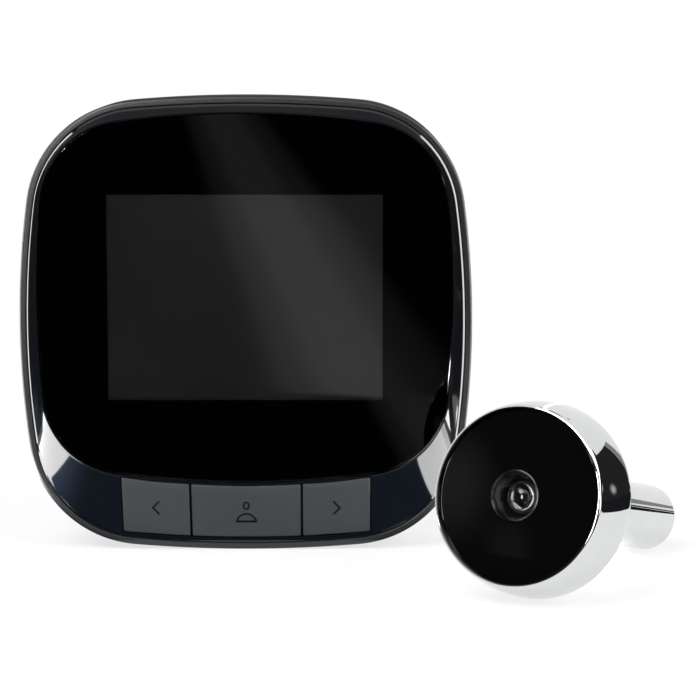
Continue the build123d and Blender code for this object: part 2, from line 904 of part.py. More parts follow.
def tab_slot(sx):
    """The slot in which one tab turns as the cover swings."""
    x = sx * tab_x
    half = tab_w / 2 + tab_gap
    swing = math.radians(cover_swing)
    inwards = tab_t * math.cos(swing) + tab_l * math.sin(swing) + tab_gap
    low = hinge_z - tab_l - tab_gap
    high = hinge_z + tab_t * math.sin(swing) + tab_gap
    return block(x - half, x + half, hinge_y - inwards, cover_y + tab_t + tab_back_gap, low, high)


# Bracket


def mounting_bracket():
    plate = block_at(0, bracket_z, bracket_w, bracket_h, bracket_y, back_y)
    plate = fillet(plate.edges().filter_by(Axis.Y), bracket_corner)
    hooks = [hook(sx, sz) for sx in (-1, 1) for sz in (-1, 1)]
    holes = [rod(0, bracket_z, barrel_hole_r, bracket_y - overrun, back_y + overrun)]
    for sx in (-1, 1):
        x = sx * plate_hole_x
        holes.append(rod(x, bracket_z, plate_hole_r, bracket_y - overrun, back_y + overrun))
    return plate + hooks - holes


def hook(sx, sz):
    """A folded tab: a stem towards the monitor, and a lip up behind the recess's floor."""
    x = sx * hook_x
    z = bracket_z + sz * hook_z
    inner_y = recess_y - recess_wall - hook_gap
    stem = block_at(x, z, hook_w, bracket_t, inner_y - bracket_t, bracket_y + bracket_t / 2)
    low = z - bracket_t / 2
    lip = block(x - hook_w / 2, x + hook_w / 2, inner_y - bracket_t, inner_y, low, low + bracket_t + hook_h)
    return stem + lip


# Viewer: pieces are turned about Z, with the rim at zero and the tube towards +Z


def disc(r, s0, s1):
    return Pos(0, 0, s0) * extrude(Circle(r), amount=s1 - s0)


def ring(r0, r1, s0, s1):
    return disc(r1, s0, s1) - disc(r0, s0 - overrun, s1 + overrun)


def turned(edges):
    """A closed profile of radius and distance, turned about the axis."""
    return revolve(Plane.XZ * make_face(edges), axis=Axis.Z)


def backplate_s():
    return head_l - backplate_t


def board_s():
    """Front face of the sensor board."""
    return backplate_s() - sensor_board_gap - sensor_board_t


def camera_head_shell():
    """A chrome ring: a rounded rim, a convex flare to the widest circle, and a rounded back edge."""
    back_c = head_r - head_round
    rest = math.sqrt(head_round**2 - (head_l - widest_s) ** 2) if head_l - widest_s < head_round else 0
    turn = eighth_turn
    mid = (back_c + head_round * math.cos(turn), widest_s + head_round * math.sin(turn))
    rim_in = rim_r - rim_edge
    lip_mid = (rim_r - rim_edge * (1 - math.cos(turn)), rim_edge * (1 - math.sin(turn)))
    end_s = min(head_l, widest_s + head_round)
    inner_r = rim_r - head_wall
    outline = [
        Line((face_r, face_drop), (rim_inner_r, 0)),
        Line((rim_inner_r, 0), (rim_in, 0)),
        ThreePointArc((rim_in, 0), lip_mid, (rim_r, rim_edge)),
        ThreePointArc((rim_r, rim_edge), (flare_mid_r, flare_mid_s), (head_r, widest_s)),
        ThreePointArc((head_r, widest_s), mid, (back_c + rest, end_s)),
        Line((back_c + rest, end_s), (back_c + rest, head_l)),
        Line((back_c + rest, head_l), (inner_r, head_l)),
        Line((inner_r, head_l), (inner_r, ledge_s() + ledge_t)),
        Line((inner_r, ledge_s() + ledge_t), (ledge_r, ledge_s() + ledge_t)),
        Line((ledge_r, ledge_s() + ledge_t), (ledge_r, ledge_s())),
        Line((ledge_r, ledge_s()), (face_r, ledge_s())),
        Line((face_r, ledge_s()), (face_r, face_drop)),
    ]
    edges = [edge for edge in outline if edge.length > thread_gap / 2]
    return turned(edges)


def ledge_s():
    return face_drop + face_t


def face_s(r):
    """How far back the domed face lies at a radius."""
    return face_front_s + face_dome * (r / face_r) ** 2


def face_disc():
    """The black face, slightly domed, with a hole for the lens's collar."""
    hole = collar_r + collar_gap
    edge = face_r - face_gap
    inner = edge - face_edge
    mid = (hole + inner) / 2
    outline = [
        ThreePointArc((hole, face_s(hole)), (mid, face_s(mid)), (inner, face_s(inner))),
        Line((inner, face_s(inner)), (edge, face_drop + face_edge)),
        Line((edge, face_drop + face_edge), (edge, ledge_s())),
        Line((edge, ledge_s()), (hole, ledge_s())),
        Line((hole, ledge_s()), (hole, face_s(hole))),
    ]
    return turned(outline)


def lens_collar():
    """A funnel seated in the face, open at the back where the lens sits."""
    s0 = face_front_s
    s1 = s0 + funnel_l
    profile = Polyline(
        (collar_r, s0 + collar_edge / 2),
        (collar_r - collar_edge / 2, s0),
        (funnel_r, s0 + collar_edge),
        (funnel_end_r, s1),
        (funnel_end_r + collar_wall, s1),
        (collar_r, s0 + face_t),
        close=True,
    )
    return turned(profile.edges())


def front_lens():
    """A domed glass in the mouth of the barrel."""
    top = lens_s - lens_dome
    radius = (lens_r**2 + lens_dome**2) / (2 * lens_dome)
    swing = math.asin(min(1, lens_r / radius)) / 2
    mid = (radius * math.sin(swing), top + radius * (1 - math.cos(swing)))
    edges = [
        ThreePointArc((0, top), mid, (lens_r, lens_s)),
        Line((lens_r, lens_s), (lens_r, lens_s + lens_t)),
        Line((lens_r, lens_s + lens_t), (0, lens_s + lens_t)),
        Line((0, lens_s + lens_t), (0, top)),
    ]
    return turned(edges)


def lens_barrel():
    barrel = ring(barrel_bore_r, barrel_r, barrel_s, board_s() - sensor_t - barrel_sensor_gap)
    seat_r = lens_r + collar_gap
    return barrel - disc(seat_r, barrel_s - overrun, lens_s + lens_t)


def inner_lens():
    s0 = lens_s + lens_t + inner_lens_gap
    return disc(barrel_bore_r - collar_gap / 2, s0, s0 + inner_lens_t)


def lens_holder():
    s0 = board_s() - holder_l
    block_out = Pos(0, 0, s0) * extrude(Rectangle(holder_w, holder_w), amount=holder_l)
    room = sensor_w + 2 * holder_gap + 2 * sensor_screw_r
    cavity = Pos(0, 0, board_s() - 2 * sensor_t) * extrude(Rectangle(room, room), amount=holder_l)
    return block_out - disc(barrel_r + holder_gap, s0 - overrun, board_s() + overrun) - cavity


def image_sensor():
    return Pos(0, 0, board_s() - sensor_t) * extrude(Rectangle(sensor_w, sensor_w), amount=sensor_t)


def sensor_screw_places():
    step = 2 * math.pi / sensor_screws
    angles = [math.pi / 2 + i * step for i in range(sensor_screws)]
    return [(sensor_screw_pcr * math.cos(a), sensor_screw_pcr * math.sin(a)) for a in angles]


def sensor_board():
    board = disc(sensor_board_r, board_s(), board_s() + sensor_board_t)
    r = sensor_screw_r + screw_hole_gap
    return board - [Pos(x, y, 0) * disc(r, 0, head_l) for x, y in sensor_screw_places()]


def sensor_connector():
    s0 = board_s() + sensor_board_t
    return Pos(0, 0, s0) * extrude(Rectangle(plug_w, plug_h), amount=plug_l)


def sensor_board_screws():
    solids = []
    for x, y in sensor_screw_places():
        head = disc(sensor_screw_head_r, board_s() - sensor_screw_head_t, board_s())
        shank = disc(sensor_screw_r, board_s(), board_s() + sensor_screw_l)
        solids.append(Pos(x, y, 0) * (head + shank))
    return solids


def head_backplate():
    """Closes the head, carries the tube, and holds the board on three short posts."""
    outer = rim_r - head_wall - backplate_gap
    plate = ring(tube_spigot_r + tube_thread_gap, outer, backplate_s(), head_l)
    front = board_s() + sensor_board_t
    posts = [Pos(x, y, 0) * disc(sensor_screw_head_r, front, head_l) for x, y in sensor_screw_places()]
    r = sensor_screw_r + thread_gap
    depth = board_s() + sensor_screw_l + screw_hole_gap
    holes = [Pos(x, y, 0) * disc(r, front - overrun, depth) for x, y in sensor_screw_places()]
    return plate + posts - holes


def viewer_tube():
    """The tube on its narrower spigot, with a threaded bore as far as the shoulder behind the grommet."""
    tube = ring(tube_neck_r, tube_spigot_r, backplate_s(), tube_step_s)
    tube += ring(tube_neck_r, tube_r, tube_step_s, tube_end_s)
    tube -= disc(tube_bore_r, tube_shoulder_s, tube_end_s + overrun)
    outer = tube.edges().filter_by(GeomType.CIRCLE).group_by(Axis.Z)[-1].sort_by(SortBy.RADIUS)[-1]
    return fillet(outer, tube_end_round)


def cable_grommet():
    return ring(grommet_hole_r, tube_neck_r, grommet_s, grommet_s + grommet_t)


def door_gasket():
    return ring(tube_r + gasket_hole_gap, gasket_ring_r, head_l, head_l + gasket_ring_t)


def viewer_tilt():
    """How far the tube points down when head and tube end both rest on the surface, in radians."""
    run = tube_end_s - tube_end_round - widest_s
    fall = head_r - head_round - (tube_r - tube_end_round)
    excess = head_round - tube_end_round
    return math.asin(excess / math.hypot(run, fall)) + math.atan2(fall, run)


def viewer_plane():
    """The plane of the rim where the viewer lies, its normal along the tube."""
    tilt = viewer_tilt()
    yaw = math.radians(viewer_yaw)
    flat = math.cos(tilt)
    axis = (flat * math.sin(yaw), flat * math.cos(yaw), -math.sin(tilt))
    height = (head_r - head_round) * flat + widest_s * math.sin(tilt) + head_round
    across = (math.cos(yaw), -math.sin(yaw), 0)
    return Plane(origin=(viewer_x, viewer_y, height), x_dir=across, z_dir=axis)


def viewer_pieces():
    pieces = {
        "camera_head_shell": camera_head_shell(),
        "face_disc": face_disc(),
        "lens_collar": lens_collar(),
        "front_lens": front_lens(),
        "inner_lens": inner_lens(),
        "lens_barrel": lens_barrel(),
        "lens_holder": lens_holder(),
        "image_sensor": image_sensor(),
        "sensor_board": sensor_board(),
        "sensor_connector": sensor_connector(),
        "sensor_board_screws": sensor_board_screws(),
        "head_backplate": head_backplate(),
        "viewer_tube": viewer_tube(),
        "cable_grommet": cable_grommet(),
        "door_gasket": door_gasket(),
    }
    place = viewer_plane().location
    return {name: [place * solid for solid in solids_of(shape)] for name, shape in pieces.items()}


def monitor_pieces():
    form = bezel_form()
    pieces = {
        "front_window": front_window(),
        "window_mask": window_mask(),
        "window_tape": window_tape(),
        "front_bezel": front_bezel(),
        "left_key": key("left", form),
        "power_key": key("power", form),
        "right_key": key("right", form),
        "left_plunger": plunger("left"),
        "power_plunger": plunger("power"),
        "right_plunger": plunger("right"),
        "switch_bodies": switch_bodies(),
        "lcd_gasket": lcd_gasket(),
        "lcd_panel": lcd_panel(),
        "lcd_backlight": lcd_backlight(),
        "lcd_ribbon": lcd_ribbon(),
        "lcd_connector": lcd_connector(),
        "lcd_pad": lcd_pad(),
        "main_board": main_board(),
        "board_chips": board_chips(),
        "camera_socket": camera_socket(),
        "board_screws": board_screws(),
        "rear_housing": rear_housing(),
        "housing_screws": housing_screws(),
        "battery_cell_1": battery_cell(0),
        "battery_cell_2": battery_cell(1),
        "battery_cell_3": battery_cell(2),
        "battery_contacts_left": battery_contacts(-1),
        "battery_contacts_right": battery_contacts(1),
        "battery_cover": battery_cover(),
        "mounting_bracket": mounting_bracket(),
    }
    return {name: solids_of(shape) for name, shape in pieces.items()}


def solids_of(shape):
    """The separate solids of a shape or a list of shapes."""
    if isinstance(shape, list):
        return [solid for each in shape for solid in each.solids()]
    return list(shape.solids())


def base_centre(pieces):
    """The middle of the underside of everything's box: the part's reference point."""
    box = Compound(children=[solid for solids in pieces.values() for solid in solids]).bounding_box()
    return Vector((box.min.X + box.max.X) / 2, (box.min.Y + box.max.Y) / 2, box.min.Z)


def assembly():
    """Every piece by name, standing on the reference point."""
    pieces = {**monitor_pieces(), **viewer_pieces()}
    shift = Location(-base_centre(pieces))
    return {name: [shift * solid for solid in solids] for name, solids in pieces.items()}


def write_parts():
    os.makedirs("parts", exist_ok=True)
    for name, solids in assembly().items():
        export_step(Compound(children=solids), os.path.join("parts", name + ".step"))


if __name__ == "__main__":
    write_parts()
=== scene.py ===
import json
import math

import bmesh
import bpy
from bpy.props import FloatProperty, FloatVectorProperty, IntProperty, PointerProperty
from mathutils import Matrix, Vector


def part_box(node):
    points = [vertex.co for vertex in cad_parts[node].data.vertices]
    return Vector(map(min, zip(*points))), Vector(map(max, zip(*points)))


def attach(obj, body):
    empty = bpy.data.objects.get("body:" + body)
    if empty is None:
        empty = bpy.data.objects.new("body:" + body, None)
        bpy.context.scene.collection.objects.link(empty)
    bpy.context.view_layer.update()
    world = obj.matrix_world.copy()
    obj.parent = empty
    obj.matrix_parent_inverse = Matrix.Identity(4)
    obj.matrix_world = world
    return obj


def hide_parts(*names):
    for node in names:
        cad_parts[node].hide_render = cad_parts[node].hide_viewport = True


bl_info = {
    "name": "Door viewer set",
    "version": (1, 0, 0),
    "blender": (4, 5, 0),
    "location": "3D View > Sidebar > Door Viewer",
    "description": "Models the monitor and the outdoor viewer of a door camera round its fixed frame",
    "category": "Object",
}

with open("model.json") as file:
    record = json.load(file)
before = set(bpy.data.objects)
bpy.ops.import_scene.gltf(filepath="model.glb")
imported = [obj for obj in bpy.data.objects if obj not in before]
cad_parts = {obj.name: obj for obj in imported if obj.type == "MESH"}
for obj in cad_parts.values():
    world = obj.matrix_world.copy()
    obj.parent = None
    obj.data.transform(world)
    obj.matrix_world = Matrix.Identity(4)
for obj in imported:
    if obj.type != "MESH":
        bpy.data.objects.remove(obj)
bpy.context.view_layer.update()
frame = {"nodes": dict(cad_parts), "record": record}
MM = 0.001


# Where things are, from the frame

CASE_LOW, CASE_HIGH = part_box("rear_housing")
WINDOW_LOW, WINDOW_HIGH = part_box("front_window")
BRACKET_LOW, BRACKET_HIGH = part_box("mounting_bracket")
COVER_LOW, COVER_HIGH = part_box("battery_cover")
GLASS_Y = WINDOW_LOW.y
MID_X = (CASE_LOW.x + CASE_HIGH.x) / 2
MID_Z = (CASE_LOW.z + CASE_HIGH.z) / 2
WINDOW_Z = (WINDOW_LOW.z + WINDOW_HIGH.z) / 2
BRACKET_Z = (BRACKET_LOW.z + BRACKET_HIGH.z) / 2
MOUNTS = {mount["name"]: mount for mount in frame["record"]["mounts"]}


# Small shapes that the panel doesn't list

# How far a cutting tool reaches past the face that it opens
PAST = 1 * MM
# How close to a plane an edge counts as lying in it
NEAR = 0.02 * MM
SCREW_HEAD_R = 1.9 * MM

# The bezel's edge round the window, in millimetres: outset from the gap and depth behind the lip
LIP_EDGE = ((0, 0.08), (0.03, 0.02), (0.1, 0))
LIP_BREAK = 0.1 * MM
# Its wall beside the window and the ledge behind that: depths behind the glass, and the reach inwards
LIP_WALL_END = 1.2 * MM
LEDGE_FRONT = 1.3 * MM
LEDGE_BACK = 2.4 * MM
LEDGE_IN = 0.6 * MM
# Where the slope has its rings, from lip to edge
SLOPE_PARTS = (0.03, 0.10, 0.25, 0.40, 0.55, 0.70, 0.82, 0.92)
# The skirt: its play in the housing's seat, and its upper ring outside and inside, behind its front
SEAT_PLAY = 0.3 * MM
SKIRT_RING = 0.3 * MM
SKIRT_WALL_TOP = 1.2 * MM
# The keys' shelf and pocket from the slope's surface, and the end of the posts' holes behind the glass
SHELF_FRONT = 0.4 * MM
POCKET_OUT = 3 * MM
POST_HOLE_END = 9 * MM

# The person's sign: the right halves of its two outlines, in millimetres from the key's middle
SHOULDERS = ((2.35, -2.55), (2.1, -1.6), (1.35, -0.75), (0.55, -0.35))
HOLLOW = ((1.7, -2.05), (1.55, -1.6), (1.05, -1.05), (0.45, -0.8))
HEAD_HALF_W = 0.58 * MM
HEAD_HALF_H = 0.80 * MM
HEAD_UP = 1.35 * MM
# Its line against the other signs' line, and the least that a corner of a line is narrowed by
HEAD_LINE = 0.9
MITRE_LIMIT = 0.3
# How far from a key's middle its sign can reach, and how far its cutter stands out in front
SIGN_REACH = 3.2 * MM
SIGN_OUT = 2 * MM

# Rings that keep the housing's walls flat beside its roundings
SIDE_RING = 2 * MM
BACK_RING = 0.5 * MM
FLOOR_RING = 1 * MM
HOLD = 0.4 * MM
# Play of the hooks' slots and of the hinge tabs' slots, and the tab slots' ends before the back
SLOT_PLAY = 0.4 * MM
TAB_PLAY = 0.2 * MM
TAB_ROOM = 0.75 * MM
TAB_SLOT_FRONT = 2.5 * MM
TAB_SLOT_BACK = 0.5 * MM
GRIP_TOP = 1.5 * MM
COVER_EDGE = 0.15 * MM
BRACKET_EDGE = 0.12 * MM

HEAD_WALL = 1.4 * MM
# The ledge that the black face sits on
FACE_SEAT_R = 14.6 * MM
FACE_LEDGE_T = 1.2 * MM
# The rim's inner edge: how far inwards and how far back it is rounded
RIM_SLANT = (0.02 * MM, 0.04 * MM)
# Clearance of the face and its collar, and the small chamfers of head and face
FIT = 0.05 * MM
BREAK = 0.2 * MM

# The collar's and the funnel's mouths, in millimetres: inset and depth behind the face's front
COLLAR_MOUTH = ((0, 0.25), (0.08, 0.06), (0.25, 0))
FUNNEL_MOUTH = ((0, 0.5), (0.12, 0.72))
FUNNEL_END_T = 0.7 * MM
# The ring on the lens's flat back, in parts of the lens's radius
LENS_BACK_RING = 0.3

# Rings along the tube, from its step and from its end
TUBE_EDGE = 0.1 * MM
TUBE_RING = 1 * MM
TUBE_END_RING = 5 * MM
BORE_BREAK = 0.35 * MM
THREAD_START = 0.7 * MM
THREAD_PITCH = 0.75 * MM
THREAD_DEPTH = 0.22 * MM
THREAD_TURNS = 16


def length(name, description, default):
    """A length that the panel shows in the scene's units."""
    return FloatProperty(
        name=name, description=description, default=default, unit="LENGTH", subtype="DISTANCE", precision=5
    )


def number(name, description, default):
    """A plain number."""
    return FloatProperty(name=name, description=description, default=default)


def share(name, description, default):
    """A plain number between nothing and one."""
    return FloatProperty(
        name=name, description=description, default=default, min=0, max=1, subtype="FACTOR"
    )


def colour(name, description, default):
    """A linear colour."""
    return FloatVectorProperty(
        name=name, description=description, default=default, size=3, min=0, max=1, subtype="COLOR"
    )


def angle(name, description, degrees):
    """An angle that the panel shows in degrees."""
    return FloatProperty(
        name=name, description=description, default=math.radians(degrees), unit="ROTATION", subtype="ANGLE"
    )


class CaseSizes(bpy.types.PropertyGroup):
    """Sizes of the monitor's housing and bezel."""

    side_r: length("Side arc", "Radius of the long arcs at left and right", 0.192)
    top_r: length("Top arc", "Radius of the long arcs at top and bottom", 0.284)
    corner_r: length("Corner", "Radius of the corners", 0.0243)
    rim_w: length("Rim", "Width of the housing's rim round the bezel", 0.0015)
    rim_round: length("Rim rounding", "Outer rounding of the rim", 0.0006)
    rim_break: length("Rim inner break", "Inner rounding of the rim", 0.00025)
    back_round: length("Back rounding", "Rounding between side and back", 0.007)
    seat_depth: length("Bezel seat", "How deep the bezel sits in the housing", 0.0036)
    parting: length("Parting line", "Gap between housing and bezel", 0.0001)
    shoulder_w: length("Shoulder width", "Width of the bezel's rounded outer edge", 0.00045)
    shoulder_turn: share("Shoulder turn", "How early the rounded outer edge turns straight back", 0.33)
    skirt_y: length("Skirt front", "Where the bezel's straight skirt starts behind the glass", 0.0053)
    foot_w: length("Foot width", "Width of the narrow chamfer at the bezel's foot", 0.00034)
    foot_rise: length("Foot rise", "How far that chamfer stands proud of the housing's rim", 0.0004)
    foot_d: length("Foot depth", "Depth of that chamfer", 0.00032)
    wall: length("Bezel wall", "Wall of the bezel", 0.0016)


class WindowSizes(bpy.types.PropertyGroup):
    """Sizes of the clear window and of the bezel's lip round it."""

    side_r: length("Side arc", "Radius of the long arcs at left and right", 0.220)
    top_r: length("Top arc", "Radius of the long arcs at top and bottom", 0.190)
    corner_r: length("Corner", "Radius of the corners", 0.0182)
    edge: length("Edge", "Polished bevel round the front face", 0.00015)
    gap: length("Gap", "Gap between window and bezel", 0.00008)
    lip_w: length("Lip", "Width of the bezel's lip round the window", 0.0005)
    lip_drop: length("Lip drop", "How far the lip lies behind the glass", 0.00015)


class KeySizes(bpy.types.PropertyGroup):
    """Sizes of the three keys on the lower slope and of their signs."""

    row_w: length("Row width", "Width of the row of keys", 0.05248)
    middle_w: length("Middle key", "Width of the middle key", 0.02304)
    gap: length("Key gap", "Gap between neighbouring keys", 0.0005)
    side_gap: length("Pocket gap", "Gap between the keys and their pocket", 0.0002)
    top_gap: length("Top gap", "Gap between the bezel's lip and the keys", 0.0002)
    margin: length("Lower margin", "Bezel left below the keys", 0.0012)
    thick: length("Thickness", "Thickness of a key's cap", 0.0015)
    pocket_d: length("Pocket", "Depth of the pocket behind the slope", 0.0021)
    edge: length("Edge", "Rounding of a key's edges", 0.00022)
    frame_edge: length("Frame edge", "Rounding of the pocket's upright edges", 0.0002)
    shelf_border: length("Shelf border", "How far the shelf reaches past the keys", 0.0012)
    shelf_t: length("Shelf", "Thickness of the shelf behind the keys", 0.001)
    post_r: length("Post", "Radius of a key's post", 0.0011)
    post_gap: length("Post gap", "Gap round a post", 0.00015)
    post_head_r: length("Post head", "Radius of the head that keeps a post in", 0.0016)
    post_head_t: length("Post head thickness", "Thickness of that head", 0.0003)
    sign_line: length("Sign line", "Width of the lines of a sign", 0.00045)
    sign_depth: length("Sign depth", "Depth of a sign", 0.00012)
    arrow_w: length("Arrow width", "Width of an arrow", 0.0014)
    arrow_h: length("Arrow height", "Height of an arrow", 0.0031)


class BackSizes(bpy.types.PropertyGroup):
    """Sizes of what shows at the monitor's back, depths measured behind the glass."""

    wall: length("Wall", "Wall of the housing", 0.0023)
    back_wall: length("Back wall", "Thickness of the housing's back", 0.002)
    edge: length("Edge", "Rounding of the edges at the back", 0.0003)
    bay_w: length("Battery bay", "Width of the battery bay", 0.051)
    bay_h: length("Bay height", "Height of the battery bay", 0.0323)
    bay_rise: length("Bay rise", "Height of the bay's lower end", 0.010)
    bay_y: length("Bay floor", "Depth of the bay's floor", 0.0116)
    bay_wall: length("Bay wall", "Wall of the bay and the recess", 0.001)
    cover_t: length("Cover", "Thickness of the battery cover", 0.0012)
    cover_gap: length("Cover gap", "Gap round the battery cover", 0.00015)
    cover_round: length("Cover corners", "Radius of the cover's upper corners", 0.0015)
    tab_w: length("Tab", "Width of a hinge tab", 0.006)
    tab_x: length("Tab place", "Distance of a tab from the centre line", 0.015)
    tab_l: length("Tab length", "How far a tab reaches below the hinge line", 0.0018)
    grip_w: length("Grip", "Width of the cover's grip grooves", 0.014)
    grip_h: length("Groove", "Height of a groove", 0.0014)
    grip_step: length("Groove step", "Distance from groove to groove", 0.0026)
    grip_d: length("Groove depth", "Depth of a groove", 0.0005)
    bracket_t: length("Bracket", "Thickness of the bracket", 0.0012)
    bracket_corner: length("Bracket corners", "Radius of the bracket's corners", 0.003)
    bracket_gap: length("Bracket gap", "Gap round the bracket", 0.0004)
    bracket_drop: length("Bracket travel", "Room below the bracket", 0.004)
    recess_d: length("Recess", "Depth of the bracket's recess", 0.0026)
    recess_wall: length("Recess floor", "Thickness of the recess's floor", 0.0014)
    hole_r: length("Middle hole", "Radius of the bracket's middle hole", 0.0072)
    screw_hole_r: length("Screw hole", "Radius of the bracket's screw holes", 0.0021)
    screw_hole_x: length("Screw hole place", "Distance of a screw hole from the middle", 0.019)
    hook_x: length("Hook place across", "Distance of a hook from the centre line", 0.020)
    hook_z: length("Hook place up", "Distance of a hook from the bracket's middle", 0.012)
    hook_w: length("Hook", "Width of a hook", 0.007)
    hook_h: length("Hook height", "Height of a hook's lip", 0.003)
    hook_gap: length("Hook gap", "Gap between hook and recess", 0.0002)
    well_w: length("Well", "Width and height of the cable well", 0.024)
    well_y: length("Well floor", "Depth of the cable well's floor", 0.014)
    well_wall: length("Well wall", "Wall of the cable well", 0.0012)
    socket_w: length("Socket", "Width of the opening for the camera's socket", 0.0096)
    socket_h: length("Socket height", "Height of that opening", 0.0056)
    board_y: length("Board", "Depth of the board's back", 0.0102)
    post_r: length("Post", "Radius of a screw post", 0.0037)
    post_y: length("Post front", "Depth of the front of the posts", 0.0096)
    seat_y: length("Screw seat", "Depth of the screw heads' seats", 0.0124)
    bore_r: length("Counterbore", "Radius of the screws' counterbores", 0.0023)
    shank_r: length("Screw hole", "Radius of the screws' holes", 0.00115)


class ViewerSizes(bpy.types.PropertyGroup):
    """Sizes of the outdoor viewer, measured from its rim along the tube."""

    rim_r: length("Rim", "Outer radius of the rim", 0.01785)
    rim_edge: length("Rim rounding", "Rounding of the rim's outer edge", 0.0007)
    head_r: length("Head", "Largest radius of the head", 0.0194)
    widest_s: length("Widest", "Where the head is widest", 0.0101)
    flare_r: length("Flare radius", "Radius halfway along the flare", 0.01882)
    flare_s: length("Flare place", "Where that radius is taken", 0.0046)
    head_round: length("Back rounding", "Rounding of the head's back edge", 0.0026)
    head_l: length("Head length", "Length of the head", 0.0129)
    face_r: length("Face", "Radius of the black face", 0.017)
    rim_inner_r: length("Rim inside", "Inner radius of the rim's front", 0.0171)
    face_drop: length("Face drop", "How far the face's edge lies behind the rim", 0.0007)
    face_dome: length("Face dome", "Height of the face's dome", 0.0015)
    face_t: length("Face thickness", "Thickness of the black face", 0.0012)
    collar_r: length("Collar", "Outer radius of the lens collar", 0.00515)
    lens_r: length("Lens", "Radius of the front lens", 0.0026)
    lens_dome: length("Lens dome", "Height of the lens's dome", 0.0013)
    lens_s: length("Lens place", "Where the dome meets its barrel", 0.0018)
    lens_t: length("Lens thickness", "Thickness of the lens behind its dome", 0.0012)
    funnel_r: length("Funnel mouth", "Radius of the funnel's mouth", 0.00455)
    funnel_end_r: length("Funnel end", "Radius of the funnel's inner end", 0.0031)
    funnel_l: length("Funnel length", "Length of the funnel", 0.0034)
    tube_r: length("Tube", "Outer radius of the tube", 0.0069)
    spigot_r: length("Spigot", "Radius of the tube where it enters the head", 0.0064)
    tube_step: length("Tube step", "Where the full tube starts", 0.0139)
    neck_r: length("Neck", "Radius of the bore inside the head", 0.005)
    shoulder: length("Shoulder", "Where the threaded bore starts", 0.016)
    bore_r: length("Bore", "Radius of the tube's threaded bore", 0.0056)
    tube_end: length("Tube end", "Where the tube ends", 0.0631)
    tube_round: length("Tube rounding", "Rounding of the tube's end", 0.0004)


class Finishes(bpy.types.PropertyGroup):
    """Colours of the plastics, the metals and the glass."""

    gloss: colour("Glossy black", "Bezel", (0.0045, 0.0052, 0.0065))
    matt: colour("Matt grey", "Housing", (0.017, 0.017, 0.018))
    key: colour("Key grey", "Keys", (0.068, 0.068, 0.070))
    ink: colour("Sign black", "Signs on the keys", (0.004, 0.004, 0.004))
    mask: colour("Mask black", "Border behind the window", (0.001, 0.001, 0.001))
    # The screen's colour is the colour of its painted glow, light in place of the lamps' light that the
    # glass keeps from it.
    screen: colour("Screen", "Dark screen", (0.0062, 0.0062, 0.0062))
    chrome: colour("Chrome", "Head and tube", (0.68, 0.69, 0.69))
    face: colour("Face black", "Face of the viewer", (0.002, 0.002, 0.002))
    lens: colour("Lens", "Front lens", (0.94, 0.96, 1.0))
    steel: colour("Steel", "Bracket and screws", (0.52, 0.53, 0.54))


class StageSizes(bpy.types.PropertyGroup):
    """Where the camera and the light are."""

    distance: length("Distance", "Camera to glass, measured level", 0.52)
    aim_x: length("Aim across", "Middle of the picture, right of the monitor's centre line", 0.02156)
    aim_z: length("Aim height", "Height of the middle of the picture, at the glass", 0.04403)
    pitch: angle("Pitch", "How far the camera looks down", 7.5)
    lens_px: number("Lens in pixels", "Focal length in the picture's pixels", 2505.2)
    picture_px: IntProperty(name="Picture", description="Width of the picture in pixels", default=696)
    sensor_mm: number("Sensor", "Width of the sensor in millimetres", 36)
    floor_size: length("Floor", "Side of the floor", 12.0)
    sky: number("Sky", "Strength of the surroundings' light", 0.55)
    glow: number("Floor glow", "Light that the floor adds in view near the object", 0.72)
    shadow: share("Floor shadow", "How much of the lamps' light and shadow the floor shows", 0.3)
    fade_from: length("White from", "Where the floor starts to turn plain white", 0.16)
    fade_to: length("White to", "Where the floor is plain white", 0.45)
    key_power: number("Key lamp", "Power of the key lamp in watts", 8)
    fill_power: number("Fill lamp", "Power of the fill lamp in watts", 4)
    band_left: length("Band left", "Left edge of the soft band, across from the middle", 0.001)
    band_left_slope: number("Band left slope", "Slant of that edge", 0.0755)
    band_step: length("Band step", "How far the left edge steps aside near the glass", 0.022)
    band_right: length("Band right", "Right edge of the soft band", 0.0395)
    band_right_slope: number("Band right slope", "Slant of that edge", 0.0655)
    band_light: number("Band light", "Light of the band", 0.26)
    dark_floor: number("Dark floor", "Light of the dark floor in front", 0.012)
    left_bright: number("Left card", "Light of the bright card at the left", 14)
    right_bright: number("Right card", "Light of the bright card at the right", 11)
    strip: number("Side strips", "Light of the strips beside the bezel's foot", 14)


# Making meshes

# Points closer than this are merged
SAME_POINT = 1e-7
# Edges sharper than this, in degrees, are rounded, in so many steps
SHARP = 50
ROUND_STEPS = 3
# Steps of each long arc and each corner arc of the rounded squares
SIDE_STEPS = 28
CORNER_STEPS = 26


def select_only(*pieces):
    """Selects these objects and nothing else, the first one active."""
    if bpy.context.mode != "OBJECT":
        bpy.ops.object.mode_set(mode="OBJECT")
    bpy.ops.object.select_all(action="DESELECT")
    for piece in pieces:
        piece.select_set(True)
    bpy.context.view_layer.objects.active = pieces[0]


def start(name):
    """Names the object just added."""
    piece = bpy.context.object
    piece.name = name
    piece.data.name = name
    return piece


def clean(piece):
    """Closes seams and turns every face outwards."""
    select_only(piece)
    bpy.ops.object.mode_set(mode="EDIT")
    bpy.ops.mesh.select_all(action="SELECT")
    bpy.ops.mesh.remove_doubles(threshold=SAME_POINT)
    bpy.ops.mesh.normals_make_consistent(inside=False)
    bpy.ops.object.mode_set(mode="OBJECT")


def smooth(piece, degrees):
    """Smooth shading with sharp edges kept above an angle."""
    select_only(piece)
    bpy.ops.object.shade_smooth_by_angle(angle=math.radians(degrees))


